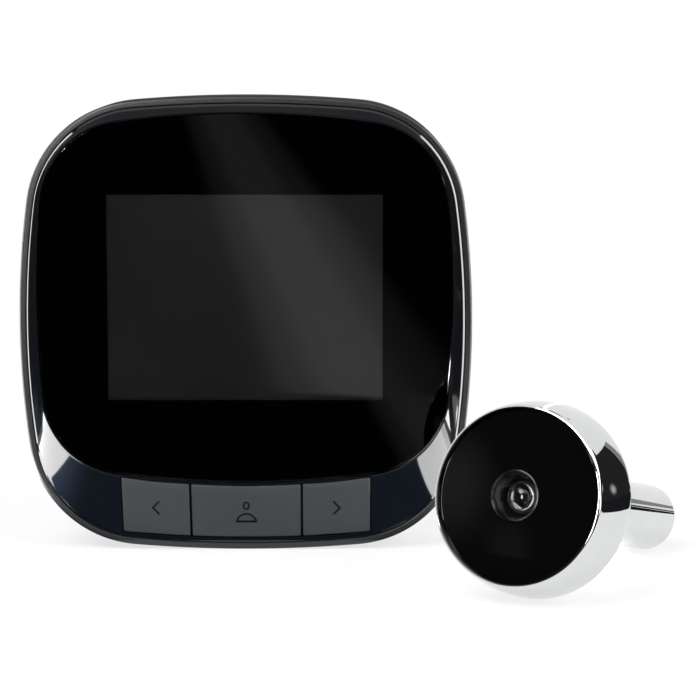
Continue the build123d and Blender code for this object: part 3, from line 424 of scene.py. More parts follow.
def ring_up(name, rings, ends="open"):
    """Extrudes a circle's edge from ring to ring. The ends stay open, are filled, or meet each other."""
    bpy.ops.object.select_all(action="DESELECT")
    bpy.ops.mesh.primitive_circle_add(vertices=len(rings[0]), radius=1)
    piece = start(name)
    mesh = piece.data
    step = mesh.attributes.new("step", "INT", "POINT")
    step.data.foreach_set("value", range(len(rings[0])))
    for vertex, point in zip(mesh.vertices, rings[0]):
        vertex.co = point
    bpy.ops.object.mode_set(mode="EDIT")
    bpy.ops.mesh.select_mode(type="EDGE")
    bpy.ops.mesh.select_all(action="SELECT")
    if ends == "filled":
        bpy.ops.mesh.edge_face_add()
    for ring in rings[1:] + (rings[:1] if ends == "joined" else []):
        bpy.ops.mesh.select_all(action="DESELECT")
        select_border(mesh)
        bpy.ops.mesh.extrude_edges_move()
        work = bmesh.from_edit_mesh(mesh)
        layer = work.verts.layers.int["step"]
        for vertex in work.verts:
            if vertex.select:
                vertex.co = ring[vertex[layer]]
        mark_border(work, mesh)
    if ends == "filled":
        select_border(mesh)
        bpy.ops.mesh.edge_face_add()
    bpy.ops.object.mode_set(mode="OBJECT")
    mesh.attributes.remove(mesh.attributes["step"])
    clean(piece)
    return piece


def mark_border(work, mesh):
    """Remembers the selected edge loop as the one to extrude next."""
    layer = work.edges.layers.int.get("border") or work.edges.layers.int.new("border")
    for edge in work.edges:
        edge[layer] = 1 if edge.select else 0
    bmesh.update_edit_mesh(mesh)


def select_border(mesh):
    """Selects the loop that was extruded last, or the whole of a first ring."""
    work = bmesh.from_edit_mesh(mesh)
    layer = work.edges.layers.int.get("border")
    for edge in work.edges:
        if layer is None or edge[layer]:
            edge.select_set(True)
    work.select_flush_mode()
    bmesh.update_edit_mesh(mesh)


def combine(piece, tools, operation):
    """Adds tools to a piece, or takes them out of it, and deletes them."""
    for tool in tools:
        select_only(piece)
        change = piece.modifiers.new("change", "BOOLEAN")
        change.operation = operation
        change.solver = "EXACT"
        change.object = tool
        bpy.ops.object.modifier_apply(modifier=change.name)
        bpy.data.objects.remove(tool)


def cut(piece, *tools):
    """Cuts tools out of a piece."""
    combine(piece, tools, "DIFFERENCE")


def join(piece, *tools):
    """Makes a piece and tools that reach into it one solid."""
    combine(piece, tools, "UNION")


def round_edges(piece, width, wanted):
    """Rounds the sharp edges whose two ends are both wanted."""
    select_only(piece)
    bpy.ops.object.mode_set(mode="EDIT")
    bpy.ops.mesh.select_mode(type="EDGE")
    bpy.ops.mesh.select_all(action="DESELECT")
    work = bmesh.from_edit_mesh(piece.data)
    for edge in work.edges:
        sharp = len(edge.link_faces) == 2 and edge.calc_face_angle(0) > math.radians(SHARP)
        edge.select_set(sharp and all(wanted(vertex.co) for vertex in edge.verts))
    bmesh.update_edit_mesh(piece.data)
    bpy.ops.mesh.bevel(offset=width, segments=ROUND_STEPS, clamp_overlap=True)
    bpy.ops.object.mode_set(mode="OBJECT")


def bevel(piece, width):
    """Rounds all sharp edges."""
    select_only(piece)
    change = piece.modifiers.new("bevel", "BEVEL")
    change.width = width
    change.segments = ROUND_STEPS
    change.limit_method = "ANGLE"
    change.angle_limit = math.radians(SHARP)
    change.harden_normals = False
    bpy.ops.object.modifier_apply(modifier=change.name)


def even_shading(piece):
    """Lets the large flat faces lead the shading of their corners."""
    select_only(piece)
    change = piece.modifiers.new("flat", "WEIGHTED_NORMAL")
    change.keep_sharp = True
    change.weight = 50
    bpy.ops.object.modifier_apply(modifier=change.name)


def block(name, low, high):
    """A box between two corners."""
    centre = [(a + b) / 2 for a, b in zip(low, high)]
    bpy.ops.object.select_all(action="DESELECT")
    bpy.ops.mesh.primitive_cube_add(size=1, location=centre, scale=[b - a for a, b in zip(low, high)])
    piece = start(name)
    bpy.ops.object.transform_apply(location=True, rotation=True, scale=True)
    return piece


def part_block(name, x, z, w, h, y0, y1):
    """A box centred on x and z, measured from the monitor's centre line, the floor and the glass."""
    low = (MID_X + x - w / 2, GLASS_Y + y0, z - h / 2)
    high = (MID_X + x + w / 2, GLASS_Y + y1, z + h / 2)
    return block(name, low, high)


def rod(name, x, z, r, y0, y1, steps=48):
    """A round rod along Y, measured the same way."""
    bpy.ops.object.select_all(action="DESELECT")
    place = (MID_X + x, GLASS_Y + (y0 + y1) / 2, z)
    bpy.ops.mesh.primitive_cylinder_add(
        vertices=steps, radius=r, depth=y1 - y0, location=place, rotation=(math.pi / 2, 0, 0)
    )
    piece = start(name)
    bpy.ops.object.transform_apply(location=True, rotation=True, scale=True)
    return piece


def plate(name, x, z, w, h, corners, y0, y1):
    """A plate with its own radius at each corner: upper right, upper left, lower left, lower right."""
    outline = []
    for turn, r in enumerate(corners):
        sx, sz = ((1, 1), (-1, 1), (-1, -1), (1, -1))[turn]
        cx, cz = x + sx * (w / 2 - r), z + sz * (h / 2 - r)
        outline += rounding(cx, cz, r, 90 * turn, 90 * turn + 90, 10) if r else [(cx, cz)]
    rings = [[Vector((MID_X + px, GLASS_Y + y, pz)) for px, pz in outline] for y in (y0, y1)]
    return ring_up(name, rings, "filled")


def arc(cx, cy, r, first, last, steps):
    """Points along an arc, the last one left out."""
    turn = (last - first) / steps
    angles = [first + i * turn for i in range(steps)]
    return [(cx + r * math.cos(a), cy + r * math.sin(a)) for a in angles]


def rounding(cx, cy, r, first_deg, last_deg, steps):
    """Points along a small arc with both ends, in degrees."""
    turn = math.radians(last_deg - first_deg) / steps
    angles = [math.radians(first_deg) + i * turn for i in range(steps + 1)]
    return [(cx + r * math.cos(a), cy + r * math.sin(a)) for a in angles]


def turns(steps):
    """Even angles round a circle."""
    return [2 * math.pi * i / steps for i in range(steps)]


def rounded_square(w, h, side_r, top_r, corner_r, inset):
    """Points of four long arcs and four corner arcs, each tangent to the next."""
    side_r, top_r, corner_r = side_r - inset, top_r - inset, corner_r - inset
    side_c = w / 2 - inset - side_r
    top_c = h / 2 - inset - top_r
    span = math.hypot(side_c, top_c)
    near, far = side_r - corner_r, top_r - corner_r
    along = (near**2 - far**2 + span**2) / (2 * span)
    across = math.sqrt(near**2 - along**2)
    cx = side_c + (along * -side_c - across * top_c) / span
    cy = (along * top_c + across * -side_c) / span
    side_end = math.atan2(cy, cx - side_c)
    top_end = math.atan2(cy - top_c, cx)
    half = math.pi
    points = arc(side_c, 0, side_r, -side_end, side_end, SIDE_STEPS)
    points += arc(cx, cy, corner_r, side_end, top_end, CORNER_STEPS)
    points += arc(0, top_c, top_r, top_end, half - top_end, SIDE_STEPS)
    points += arc(-cx, cy, corner_r, half - top_end, half - side_end, CORNER_STEPS)
    points += arc(-side_c, 0, side_r, half - side_end, half + side_end, SIDE_STEPS)
    points += arc(-cx, -cy, corner_r, half + side_end, half + top_end, CORNER_STEPS)
    points += arc(0, -top_c, top_r, half + top_end, 2 * half - top_end, SIDE_STEPS)
    points += arc(cx, -cy, corner_r, 2 * half - top_end, 2 * half - side_end, CORNER_STEPS)
    return points


def front_sizes():
    """The sizes of the case, the window and the keys."""
    scene = bpy.context.scene
    return scene.door_case, scene.door_window, scene.door_keys


def case_ring(inset, y):
    """The monitor's outline, inset, at a depth behind the glass."""
    s = bpy.context.scene.door_case
    size = CASE_HIGH - CASE_LOW
    points = rounded_square(size.x, size.z, s.side_r, s.top_r, s.corner_r, inset)
    return [Vector((MID_X + x, GLASS_Y + y, MID_Z + z)) for x, z in points]


def window_ring(inset, y):
    """The window's outline, inset, at a depth behind the glass."""
    s = bpy.context.scene.door_window
    size = WINDOW_HIGH - WINDOW_LOW
    points = rounded_square(size.x, size.z, s.side_r, s.top_r, s.corner_r, inset)
    return [Vector((MID_X + x, GLASS_Y + y, WINDOW_Z + z)) for x, z in points]


def between(a, b, part):
    """A ring part of the way from one ring to another."""
    return [p.lerp(q, part) for p, q in zip(a, b)]


def edge_depth(width):
    """Depth where the slope passes into its rounded edge, from the slope's width in plan."""
    case, window, _keys = front_sizes()
    steep = case.shoulder_w / width
    return (case.skirt_y * case.shoulder_turn + window.lip_drop * steep) / (steep + case.shoulder_turn)


def plan_gap(point, ring):
    """Shortest distance, seen from the front, from a point to a closed ring."""
    gaps = []
    for a, b in zip(ring, ring[1:] + ring[:1]):
        run = Vector((b.x - a.x, b.z - a.z))
        away = Vector((point.x - a.x, point.z - a.z))
        part = min(1, max(0, away.dot(run) / run.length_squared))
        gaps.append((away - run * part).length)
    return min(gaps)


def deepened(lip, edge):
    """The ring where the slope passes into its rounded edge."""
    return [Vector((q.x, GLASS_Y + edge_depth(plan_gap(q, lip)), q.z)) for q in edge]


def rounded_off(lip, first, last, width, steps=6):
    """Rings of a rounding that leaves the slope in its own direction and ends straight back."""
    bends = []
    for a, b in zip(first, last):
        fall = (a.y - lip[0].y) / plan_gap(a, lip) * width
        bends.append(Vector((b.x, min(a.y + fall, b.y), b.z)))
    rings = []
    for i in range(1, steps + 1):
        t = i / steps
        rings.append(
            [a * (1 - t) ** 2 + c * 2 * t * (1 - t) + b * t**2 for a, c, b in zip(first, bends, last)]
        )
    return rings


# Finishes

# The range in which most of a noise's values lie
NOISE_LOW = 0.3
NOISE_HIGH = 0.7
# Filled by main
MATERIALS = {}


def new_material(name):
    """An empty node material with its principled shader."""
    material = bpy.data.materials.new(name)
    material.use_nodes = True
    shader = next(n for n in material.node_tree.nodes if n.type == "BSDF_PRINCIPLED")
    return material, material.node_tree, shader


def own_place(tree):
    """The object's own coordinates."""
    return tree.nodes.new("ShaderNodeTexCoord").outputs["Object"]


def own_axes(tree):
    """The same, split into X, Y and Z."""
    split = tree.nodes.new("ShaderNodeSeparateXYZ")
    tree.links.new(own_place(tree), split.inputs["Vector"])
    return split.outputs


def noise(tree, scale, detail=3, stretch=(1, 1, 1)):
    """Noise in the object's own place, optionally stretched."""
    turn = tree.nodes.new("ShaderNodeMapping")
    turn.inputs["Scale"].default_value = stretch
    texture = tree.nodes.new("ShaderNodeTexNoise")
    texture.inputs["Scale"].default_value = scale
    texture.inputs["Detail"].default_value = detail
    tree.links.new(own_place(tree), turn.inputs["Vector"])
    tree.links.new(turn.outputs["Vector"], texture.inputs["Vector"])
    return texture.outputs["Fac"]


def spread(tree, source, low, high):
    """Maps noise, most of which lies in its middle, to a range."""
    node = tree.nodes.new("ShaderNodeMapRange")
    node.inputs["From Min"].default_value = NOISE_LOW
    node.inputs["From Max"].default_value = NOISE_HIGH
    node.inputs["To Min"].default_value = low
    node.inputs["To Max"].default_value = high
    tree.links.new(source, node.inputs["Value"])
    return node.outputs["Result"]


def shades(tree, source, low, high):
    """Mixes two colours by noise."""
    node = tree.nodes.new("ShaderNodeMix")
    node.data_type = "RGBA"
    node.inputs["A"].default_value = (*low, 1)
    node.inputs["B"].default_value = (*high, 1)
    tree.links.new(source, node.inputs["Factor"])
    return node.outputs["Result"]


def bump(tree, shader, source, strength, distance):
    """Fine relief."""
    node = tree.nodes.new("ShaderNodeBump")
    node.inputs["Strength"].default_value = strength
    node.inputs["Distance"].default_value = distance
    tree.links.new(source, node.inputs["Height"])
    tree.links.new(node.outputs["Normal"], shader.inputs["Normal"])


def tinted(value, factor):
    """A colour made lighter or darker."""
    return tuple(min(1, channel * factor) for channel in value)


def mottled(tree, texture, base, vary):
    """A colour that noise makes slightly lighter and darker."""
    return shades(tree, spread(tree, texture, 0, 1), tinted(base, 1 - vary), tinted(base, 1 + vary))


def moulded(name, base, rough, mottling, grain, relief, specular=0.5, vary=0.08):
    """Moulded plastic: uneven gloss, a slight change of shade, and the mould's texture."""
    material, tree, shader = new_material(name)
    tree.links.new(mottled(tree, noise(tree, mottling), base, vary), shader.inputs["Base Color"])
    fine = noise(tree, grain, 4)
    tree.links.new(spread(tree, fine, rough * 0.85, min(1, rough * 1.15)), shader.inputs["Roughness"])
    shader.inputs["Specular IOR Level"].default_value = specular
    bump(tree, shader, fine, relief, 0.02 * MM)
    return material


def polished_metal(name, base, rough, marks):
    """Plated or drawn metal with faint polishing marks in its gloss."""
    material, tree, shader = new_material(name)
    shader.inputs["Metallic"].default_value = 1
    tree.links.new(mottled(tree, noise(tree, 120), base, 0.015), shader.inputs["Base Color"])
    fine = noise(tree, marks, 5, (1, 1, 6))
    tree.links.new(spread(tree, fine, rough * 0.7, rough * 1.3), shader.inputs["Roughness"])
    bump(tree, shader, fine, 0.02, 0.01 * MM)
    return material


def clear(name, base, rough, ior, haze):
    """Clear glass or acrylic with faint haze."""
    material, tree, shader = new_material(name)
    shader.inputs["Base Color"].default_value = (*base, 1)
    shader.inputs["Transmission Weight"].default_value = 1
    shader.inputs["IOR"].default_value = ior
    tree.links.new(spread(tree, noise(tree, haze), rough * 0.5, rough * 1.5), shader.inputs["Roughness"])
    return material


def made_materials():
    """Every finish by name, made once. Plastics: roughness, mottling, grain, relief, specular, change."""
    f = bpy.context.scene.door_finishes
    return {
        "gloss": moulded("glossy_black", f.gloss, 0.07, 90, 700, 0.03, 0.5, 0.1),
        "matt": moulded("matt_grey", f.matt, 0.30, 60, 5200, 0.25, 0.5, 0.05),
        "key": moulded("key_grey", f.key, 0.40, 80, 6000, 0.22, 0.45, 0.05),
        "ink": moulded("sign_black", f.ink, 0.5, 300, 4000, 0.1, 0.3),
        "mask": moulded("mask_black", f.mask, 0.4, 200, 3000, 0.05, 0.2),
        "face": moulded("face_black", f.face, 0.05, 100, 800, 0.02, 0.35),
        "collar": moulded("collar_black", f.face, 0.22, 300, 4000, 0.1, 0.5),
        "rubber": moulded("soft_black", (0.02, 0.02, 0.02), 0.7, 150, 3500, 0.4, 0.3),
        "foam": moulded("foam_black", (0.03, 0.03, 0.032), 0.9, 400, 2500, 0.8, 0.2),
        "board": moulded("board_green", (0.01, 0.09, 0.035), 0.35, 150, 900, 0.15, 0.5),
        "chip": moulded("chip_black", (0.012, 0.012, 0.012), 0.5, 200, 3000, 0.2, 0.4),
        "nylon": moulded("socket_white", (0.70, 0.68, 0.60), 0.5, 200, 2000, 0.1),
        "tray": moulded("tray_white", (0.78, 0.78, 0.76), 0.45, 100, 1500, 0.1),
        "flex": moulded("flex_amber", (0.30, 0.12, 0.02), 0.3, 250, 1500, 0.05),
        "wrap": moulded("cell_wrap", (0.05, 0.055, 0.07), 0.3, 120, 900, 0.05),
        "chrome": polished_metal("chrome", f.chrome, 0.035, 500),
        "steel": polished_metal("zinc_steel", f.steel, 0.32, 900),
        "nickel": polished_metal("nickel", (0.66, 0.63, 0.58), 0.22, 900),
        "barrel": moulded("barrel_black", (0.01, 0.01, 0.01), 0.35, 300, 3000, 0.1, 0.5),
        "window": clear("window_clear", (1, 1, 1), 0.01, 1.46, 60),
        "lens": clear("lens_glass", f.lens, 0.01, 1.52, 200),
        "screen": painted_glow_screen_material(f.screen),
    }


def painted_glow_screen_material(base):
    """A dark screen with a faint painted glow: light that stands in for the lamps' light, which the glass
    in front keeps from it, and for a backlight's leak.
    """
    material, tree, shader = new_material("screen_dark_painted_glow")
    shader.inputs["Base Color"].default_value = (0.004, 0.004, 0.0045, 1)
    shader.inputs["Roughness"].default_value = 0.12
    shader.inputs["Specular IOR Level"].default_value = 0.6
    # Painted glow: the screen's colour, mottled by noise, is given out as light.
    tree.links.new(mottled(tree, noise(tree, 25, 2), base, 0.08), shader.inputs["Emission Color"])
    shader.inputs["Emission Strength"].default_value = 1
    return material


def dress(piece, material, body="root", nodes=()):
    """Gives a piece its finish and its body, and hides the nodes that it stands for."""
    piece.data.materials.clear()
    piece.data.materials.append(MATERIALS[material])
    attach(piece, body)
    if nodes:
        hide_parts(*nodes)
    return piece


def refinish(node, material):
    """A better material on a node that stays as it is."""
    target = frame["nodes"][node]
    target.data.materials.clear()
    target.data.materials.append(MATERIALS[material])


# The monitor


def slope_arcs():
    """Heights of the window's and the case's lower edges at x, as functions."""
    case, window, _keys = front_sizes()
    case_half = (CASE_HIGH.z - CASE_LOW.z) / 2
    window_half = (WINDOW_HIGH.z - WINDOW_LOW.z) / 2

    def window_edge(x, out):
        """The window's lower edge, set outwards."""
        r = window.top_r + out
        return WINDOW_Z - (window_half - window.top_r) - math.sqrt(r**2 - x**2)

    def case_edge(x, inset):
        """The case's lower edge, set inwards."""
        r = case.top_r - inset
        return MID_Z - (case_half - case.top_r) - math.sqrt(r**2 - x**2)

    return window_edge, case_edge


def slope_depth(x, z):
    """Depth of the lower slope's surface behind the glass, x measured from the centre line."""
    case, window, _keys = front_sizes()
    window_edge, case_edge = slope_arcs()
    top = window_edge(x, window.lip_w)
    low = case_edge(x, case.rim_w + case.parting + case.shoulder_w)
    return window.lip_drop + (edge_depth(top - low) - window.lip_drop) * (top - z) / (top - low)


def slope_block(name, x0, x1, grow, front, back, steps=24):
    """A block that follows the lower slope between the window's lip and the case's edge."""
    case, window, keys = front_sizes()
    window_edge, case_edge = slope_arcs()
    bpy.ops.object.select_all(action="DESELECT")
    bpy.ops.mesh.primitive_grid_add(x_subdivisions=steps, y_subdivisions=8, size=2)
    piece = start(name)
    for vertex in piece.data.vertices:
        x = x0 - grow + (x1 - x0 + 2 * grow) * (vertex.co.x + 1) / 2
        top = window_edge(x, window.lip_w + keys.top_gap - grow)
        low = case_edge(x, case.rim_w + case.parting + keys.margin - grow)
        z = low + (top - low) * (vertex.co.y + 1) / 2
        vertex.co = (MID_X + x, GLASS_Y + slope_depth(x, z) + front, z)
    bpy.ops.object.mode_set(mode="EDIT")
    bpy.ops.mesh.select_all(action="SELECT")
    bpy.ops.mesh.extrude_region_move(TRANSFORM_OT_translate={"value": (0, back - front, 0)})
    bpy.ops.object.mode_set(mode="OBJECT")
    close_front(piece)
    return piece


def close_front(piece):
    """Adds the face that an extruded sheet leaves open, if it does, and turns all faces outwards."""
    select_only(piece)
    bpy.ops.object.mode_set(mode="EDIT")
    bpy.ops.mesh.select_mode(type="EDGE")
    bpy.ops.mesh.select_all(action="DESELECT")
    bpy.ops.mesh.select_non_manifold()
    if any(edge.select for edge in bmesh.from_edit_mesh(piece.data).edges):
        bpy.ops.mesh.edge_face_add()
    bpy.ops.object.mode_set(mode="OBJECT")
    clean(piece)


class DOOR_OT_window(bpy.types.Operator):
    """Models the clear window with its polished edge"""

    bl_idname = "door.window"
    bl_label = "Window"

    def execute(self, context):
        s = context.scene.door_window
        thick = WINDOW_HIGH.y - WINDOW_LOW.y
        profile = [(4 * s.edge, 0), (2 * s.edge, 0), (s.edge / 2, 0), (0, s.edge), (0, thick - s.edge)]
        profile += [(s.edge, thick), (4 * s.edge, thick)]
        piece = ring_up("window_plate", [window_ring(inset, y) for inset, y in profile], "filled")
        smooth(piece, 25)
        dress(piece, "window", nodes=["front_window"])
        return {"FINISHED"}


class DOOR_OT_bezel(bpy.types.Operator):
    """Models the glossy bezel: lip, slope, rounded shoulder and skirt, with the keys' pocket"""

    bl_idname = "door.bezel"
    bl_label = "Bezel"

    def execute(self, context):
        keys = context.scene.door_keys
        piece = ring_up("bezel", self.rings(), "joined")
        half = keys.row_w / 2
        shelf_back = keys.pocket_d + keys.shelf_t
        join(piece, slope_block("shelf", -half, half, keys.shelf_border, SHELF_FRONT, shelf_back))
        cut(piece, slope_block("pocket", -half, half, keys.side_gap, -POCKET_OUT, keys.pocket_d))
        hole_r = keys.post_r + keys.post_gap
        cut(piece, *[rod("hole", x, key_height(), hole_r, 0, POST_HOLE_END) for x in key_middles()])
        side = half + keys.side_gap
        round_edges(piece, keys.frame_edge, lambda place: abs(abs(place.x - MID_X) - side) < NEAR)
        smooth(piece, 30)
        dress(piece, "gloss", nodes=["front_bezel"])
        return {"FINISHED"}

    def rings(self):
        """Rings from the window's wall over the lip, the slope and the foot to the inside."""
        case, window, _keys = front_sizes()
        outer = case.rim_w + case.parting
        drop = window.lip_drop
        deep = case.skirt_y + case.seat_depth - SEAT_PLAY
        lip = window_ring(-window.lip_w, drop)
        edge = deepened(lip, case_ring(outer + case.shoulder_w, case.skirt_y))
        rings = [window_ring(-window.gap, LIP_WALL_END)]
        rings += [window_ring(-window.gap - out * MM, drop + behind * MM) for out, behind in LIP_EDGE]
        rings += [window_ring(-window.lip_w + LIP_BREAK, drop), lip]
        rings += [between(lip, edge, part) for part in SLOPE_PARTS]
        foot_y = CASE_LOW.y - GLASS_Y - case.foot_rise
        foot = case_ring(outer + case.foot_w, foot_y)
        rings += [edge] + rounded_off(lip, edge, foot, case.shoulder_w - case.foot_w)
        rings += [case_ring(outer, y) for y in (foot_y + case.foot_d, case.skirt_y + SKIRT_RING, deep)]
        rings += [case_ring(outer + case.wall, y) for y in (deep, case.skirt_y + SKIRT_WALL_TOP)]
        rings += [window_ring(LEDGE_IN, y) for y in (LEDGE_BACK, LEDGE_FRONT)]
        return rings


def stroke_outline(points, width, closed=False):
    """Left and right sides of a line of even width through points, mitred at its corners."""
    count = len(points)
    left, right = [], []
    for i, (x, z) in enumerate(points):
        before = points[i - 1] if i or closed else None
        after = points[(i + 1) % count] if i + 1 < count or closed else None
        a = Vector((x - before[0], z - before[1])).normalized() if before else None
        b = Vector((after[0] - x, after[1] - z)).normalized() if after else None
        run = (a + b).normalized() if a and b else a or b
        side = Vector((-run.y, run.x))
        reach = width / 2 / max(MITRE_LIMIT, side.dot(Vector((-a.y, a.x))) if a else 1)
        left.append((x + side.x * reach, z + side.y * reach))
        right.append((x - side.x * reach, z - side.y * reach))
    return left, right


def arrow_sign(x, z, direction):
    """An arrowhead of one bent line."""
    s = bpy.context.scene.door_keys
    tail = x - direction * s.arrow_w / 2
    tip = x + direction * s.arrow_w / 2
    up = s.arrow_h / 2
    left, right = stroke_outline([(tail, z + up), (tip, z), (tail, z - up)], s.sign_line)
    return [left + right[::-1]]


def key_middles():
    """Distance of each key's middle from the centre line."""
    return [(x0 + x1) / 2 for x0, x1 in key_spans().values()]


def key_height(x=0):
    """Middle height of the row of keys, at a distance from the centre line or at the line itself."""
    case, window, keys = front_sizes()
    window_edge, case_edge = slope_arcs()
    top = window_edge(x, window.lip_w + keys.top_gap)
    low = case_edge(x, case.rim_w + case.parting + keys.margin)
    return (top + low) / 2


def key_spans():
    """Left and right end of each key, from the centre line."""
    s = bpy.context.scene.door_keys
    half, middle = s.row_w / 2, s.middle_w / 2
    return {"left": (-half, -middle - s.gap), "power": (-middle, middle), "right": (middle + s.gap, half)}


class DOOR_OT_keys(bpy.types.Operator):
    """Models the three keys with their signs"""

    bl_idname = "door.keys"
    bl_label = "Keys"

    def execute(self, context):
        s = context.scene.door_keys
        for name, (x0, x1) in key_spans().items():
            piece = slope_block(f"{name}_cap", x0, x1, 0, 0, s.thick, 16)
            bevel(piece, s.edge)
            x = (x0 + x1) / 2
            self.add_post(piece, s, name, x)
            self.engrave(piece, s, name, x)
            smooth(piece, 30)
            dress(piece, "key", f"{name}_button", [f"{name}_key"])
            piece.data.materials.append(MATERIALS["ink"])
            self.ink(piece, s, x)
        return {"FINISHED"}

    def add_post(self, piece, s, name, x):
        """Joins the post through the bezel's shelf, with its snap head. All are at one height."""
        z = key_height()
        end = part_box(f"{name}_plunger")[0].y - GLASS_Y
        root = slope_depth(x, z) + s.thick / 2
        post = rod("post", x, z, s.post_r, root, end)
        join(piece, post, rod("head", x, z, s.post_head_r, end - s.post_head_t, end))

    def engrave(self, piece, s, name, x):
        """Cuts the sign into the cap."""
        z = key_height(x)
        if name == "power":
            outlines = figure_outlines(MID_X + x, z)
        else:
            outlines = arrow_sign(MID_X + x, z, 1 if name == "right" else -1)
        tools = []
        for outline in outlines:
            rings = []
            for front in (-SIGN_OUT, s.sign_depth):
                rings.append(
                    [Vector((px, GLASS_Y + slope_depth(px - MID_X, pz) + front, pz)) for px, pz in outline]
                )
            tools.append(ring_up("sign", rings, "filled"))
        cut(piece, *tools)

    def ink(self, piece, s, x):
        """Paints the floors and walls of the sign, from a quarter of its depth to just past its floor."""
        for face in piece.data.polygons:
            c = face.center
            depth = c.y - GLASS_Y - slope_depth(c.x - MID_X, c.z)
            near = abs(c.x - MID_X - x) < SIGN_REACH
            if near and s.sign_depth * 0.25 < depth < s.sign_depth * 1.3:
                face.material_index = 1


def figure_outlines(x, z):
    """A plain head and shoulders: a ring, and a bell with a thick base, each as closed outlines."""
    line = bpy.context.scene.door_keys.sign_line * HEAD_LINE
    head = [(x + HEAD_HALF_W * math.cos(a), z + HEAD_UP + HEAD_HALF_H * math.sin(a)) for a in turns(20)]
    bell = []
    for half in (SHOULDERS, HOLLOW):
        bell.append([(x + px * MM, z + pz * MM) for px, pz in both_sides(half)])
    return split_band(*stroke_outline(head, line, closed=True)) + split_band(*bell)


def both_sides(half):
    """A closed outline from its right half, with the lower left point first."""
    return [(-half[0][0], half[0][1]), *half] + [(-x, z) for x, z in half[:0:-1]]


def split_band(outer, inner):
    """The band between two closed outlines of equal count, as two simple halves."""
    half = len(outer) // 2
    first = outer[: half + 1] + inner[: half + 1][::-1]
    second = outer[half:] + outer[:1] + (inner[half:] + inner[:1])[::-1]
    return [first, second]


def corners():
    """The four corners as signs for x and z."""
    return [(sx, sz) for sx in (-1, 1) for sz in (-1, 1)]


def screw_places():
    """Where the four housing screws are, from the centre line and the floor."""
    low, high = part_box("housing_screws")
    head = (high.x - low.x) / 2 - SCREW_HEAD_R
    rise = (high.z - low.z) / 2 - SCREW_HEAD_R
    return [(sx * head, MID_Z + sz * rise) for sx, sz in corners()]


class DOOR_OT_housing(bpy.types.Operator):
    """Models the matt housing: shell, rounded rim and back, battery bay, bracket recess and cable well"""

    bl_idname = "door.housing"
    bl_label = "Housing"

    def execute(self, context):
        s = context.scene.door_back
        piece = self.shell(context.scene.door_case, s)
        join(piece, *self.inner_walls(s))
        cut(piece, *self.recesses(s))
        round_edges(piece, s.edge, lambda place: abs(place.y - CASE_HIGH.y) < NEAR / 2)
        smooth(piece, 30)
        even_shading(piece)
        dress(piece, "matt", nodes=["rear_housing"])
        return {"FINISHED"}

    def shell(self, s, b):
        """The shell from the inner floor out round the rim and over the rounded back."""
        front = CASE_LOW.y - GLASS_Y
        back = CASE_HIGH.y - GLASS_Y
        floor = back - b.back_wall
        inner_round = s.back_round - b.wall
        seat = front + s.seat_depth
        profile = [(s.back_round + FLOOR_RING, floor)]
        profile += rounding(s.back_round, floor - inner_round, inner_round, 90, 180, 10)
        profile += [(b.wall, seat), (s.rim_w, seat), (s.rim_w, front + s.rim_break)]
        profile += rounding(s.rim_w - s.rim_break, front + s.rim_break, s.rim_break, 0, -90, 4)[1:]
        profile += rounding(s.rim_round, front + s.rim_round, s.rim_round, -90, -180, 8)
        profile += [(0, front + SIDE_RING), (0, back - s.back_round - BACK_RING)]
        profile += rounding(s.back_round, back - s.back_round, s.back_round, 180, 90, 18)
        profile += [(s.back_round + HOLD, back), (s.back_round + 2 * HOLD, back)]
        return ring_up("housing", [case_ring(inset, y) for inset, y in profile], "filled")

    def inner_walls(self, s):
        """Walls behind the battery bay, the recess and the well, and the screw posts."""
        back = CASE_HIGH.y - GLASS_Y - s.back_wall / 2
        t = 2 * s.bay_wall
        bay_z = s.bay_rise + s.bay_h / 2
        w, h, z = bracket_room()
        recess_front = back + s.back_wall / 2 - s.recess_d - s.recess_wall
        well = s.well_w + 2 * s.well_wall
        walls = [
            part_block("bay", 0, bay_z, s.bay_w + t, s.bay_h + t, s.bay_y - s.bay_wall, back),
            part_block("recess", 0, z, w + t, h + t, recess_front, back),
            part_block("well", 0, BRACKET_Z, well, well, s.well_y - s.well_wall, back),
        ]
        return walls + [rod("post", x, z, s.post_r, s.post_y, back) for x, z in screw_places()]

    def recesses(self, s):
        """What is open at the back."""
        back = CASE_HIGH.y - GLASS_Y
        out = back + PAST
        w, h, z = bracket_room()
        cover_low = COVER_LOW.z + s.tab_l - s.cover_t / 2 - s.cover_gap
        cover_high = COVER_HIGH.z + s.cover_gap
        cover_w = COVER_HIGH.x - COVER_LOW.x + 2 * s.cover_gap
        cover_z = (cover_low + cover_high) / 2
        tools = [
            part_block("cover_seat", 0, cover_z, cover_w, cover_high - cover_low, back - s.cover_t, out),
            part_block("bay_room", 0, s.bay_rise + s.bay_h / 2, s.bay_w, s.bay_h, s.bay_y, out),
            part_block("recess_room", 0, z, w, h, back - s.recess_d, out),
            part_block("well_room", 0, BRACKET_Z, s.well_w, s.well_w, s.well_y, out),
            part_block("socket_room", 0, BRACKET_Z, s.socket_w, s.socket_h, s.board_y, s.well_y + PAST),
        ]
        slot_h = s.bracket_t + s.bracket_drop + 2 * s.hook_gap
        slot = (s.hook_w + 2 * SLOT_PLAY, slot_h, back - s.recess_d - s.recess_wall - PAST, back - PAST)
        for sx, sz in corners():
            slot_z = BRACKET_Z + sz * s.hook_z + s.bracket_t / 2 + s.hook_gap - slot_h / 2
            tools.append(part_block("slot", sx * s.hook_x, slot_z, *slot))
        tab_h = s.tab_l + TAB_ROOM
        tab_z = COVER_LOW.z - TAB_PLAY + tab_h / 2
        slot = (s.tab_w + 2 * TAB_PLAY, tab_h, back - TAB_SLOT_FRONT, back - TAB_SLOT_BACK)
        for sx in (-1, 1):
            tools.append(part_block("tab_slot", sx * s.tab_x, tab_z, *slot))
        for x, z in screw_places():
            tools.append(rod("shank_room", x, z, s.shank_r, s.post_y - PAST, s.seat_y + PAST, 32))
            tools.append(rod("bore", x, z, s.bore_r, s.seat_y, out))
        return tools


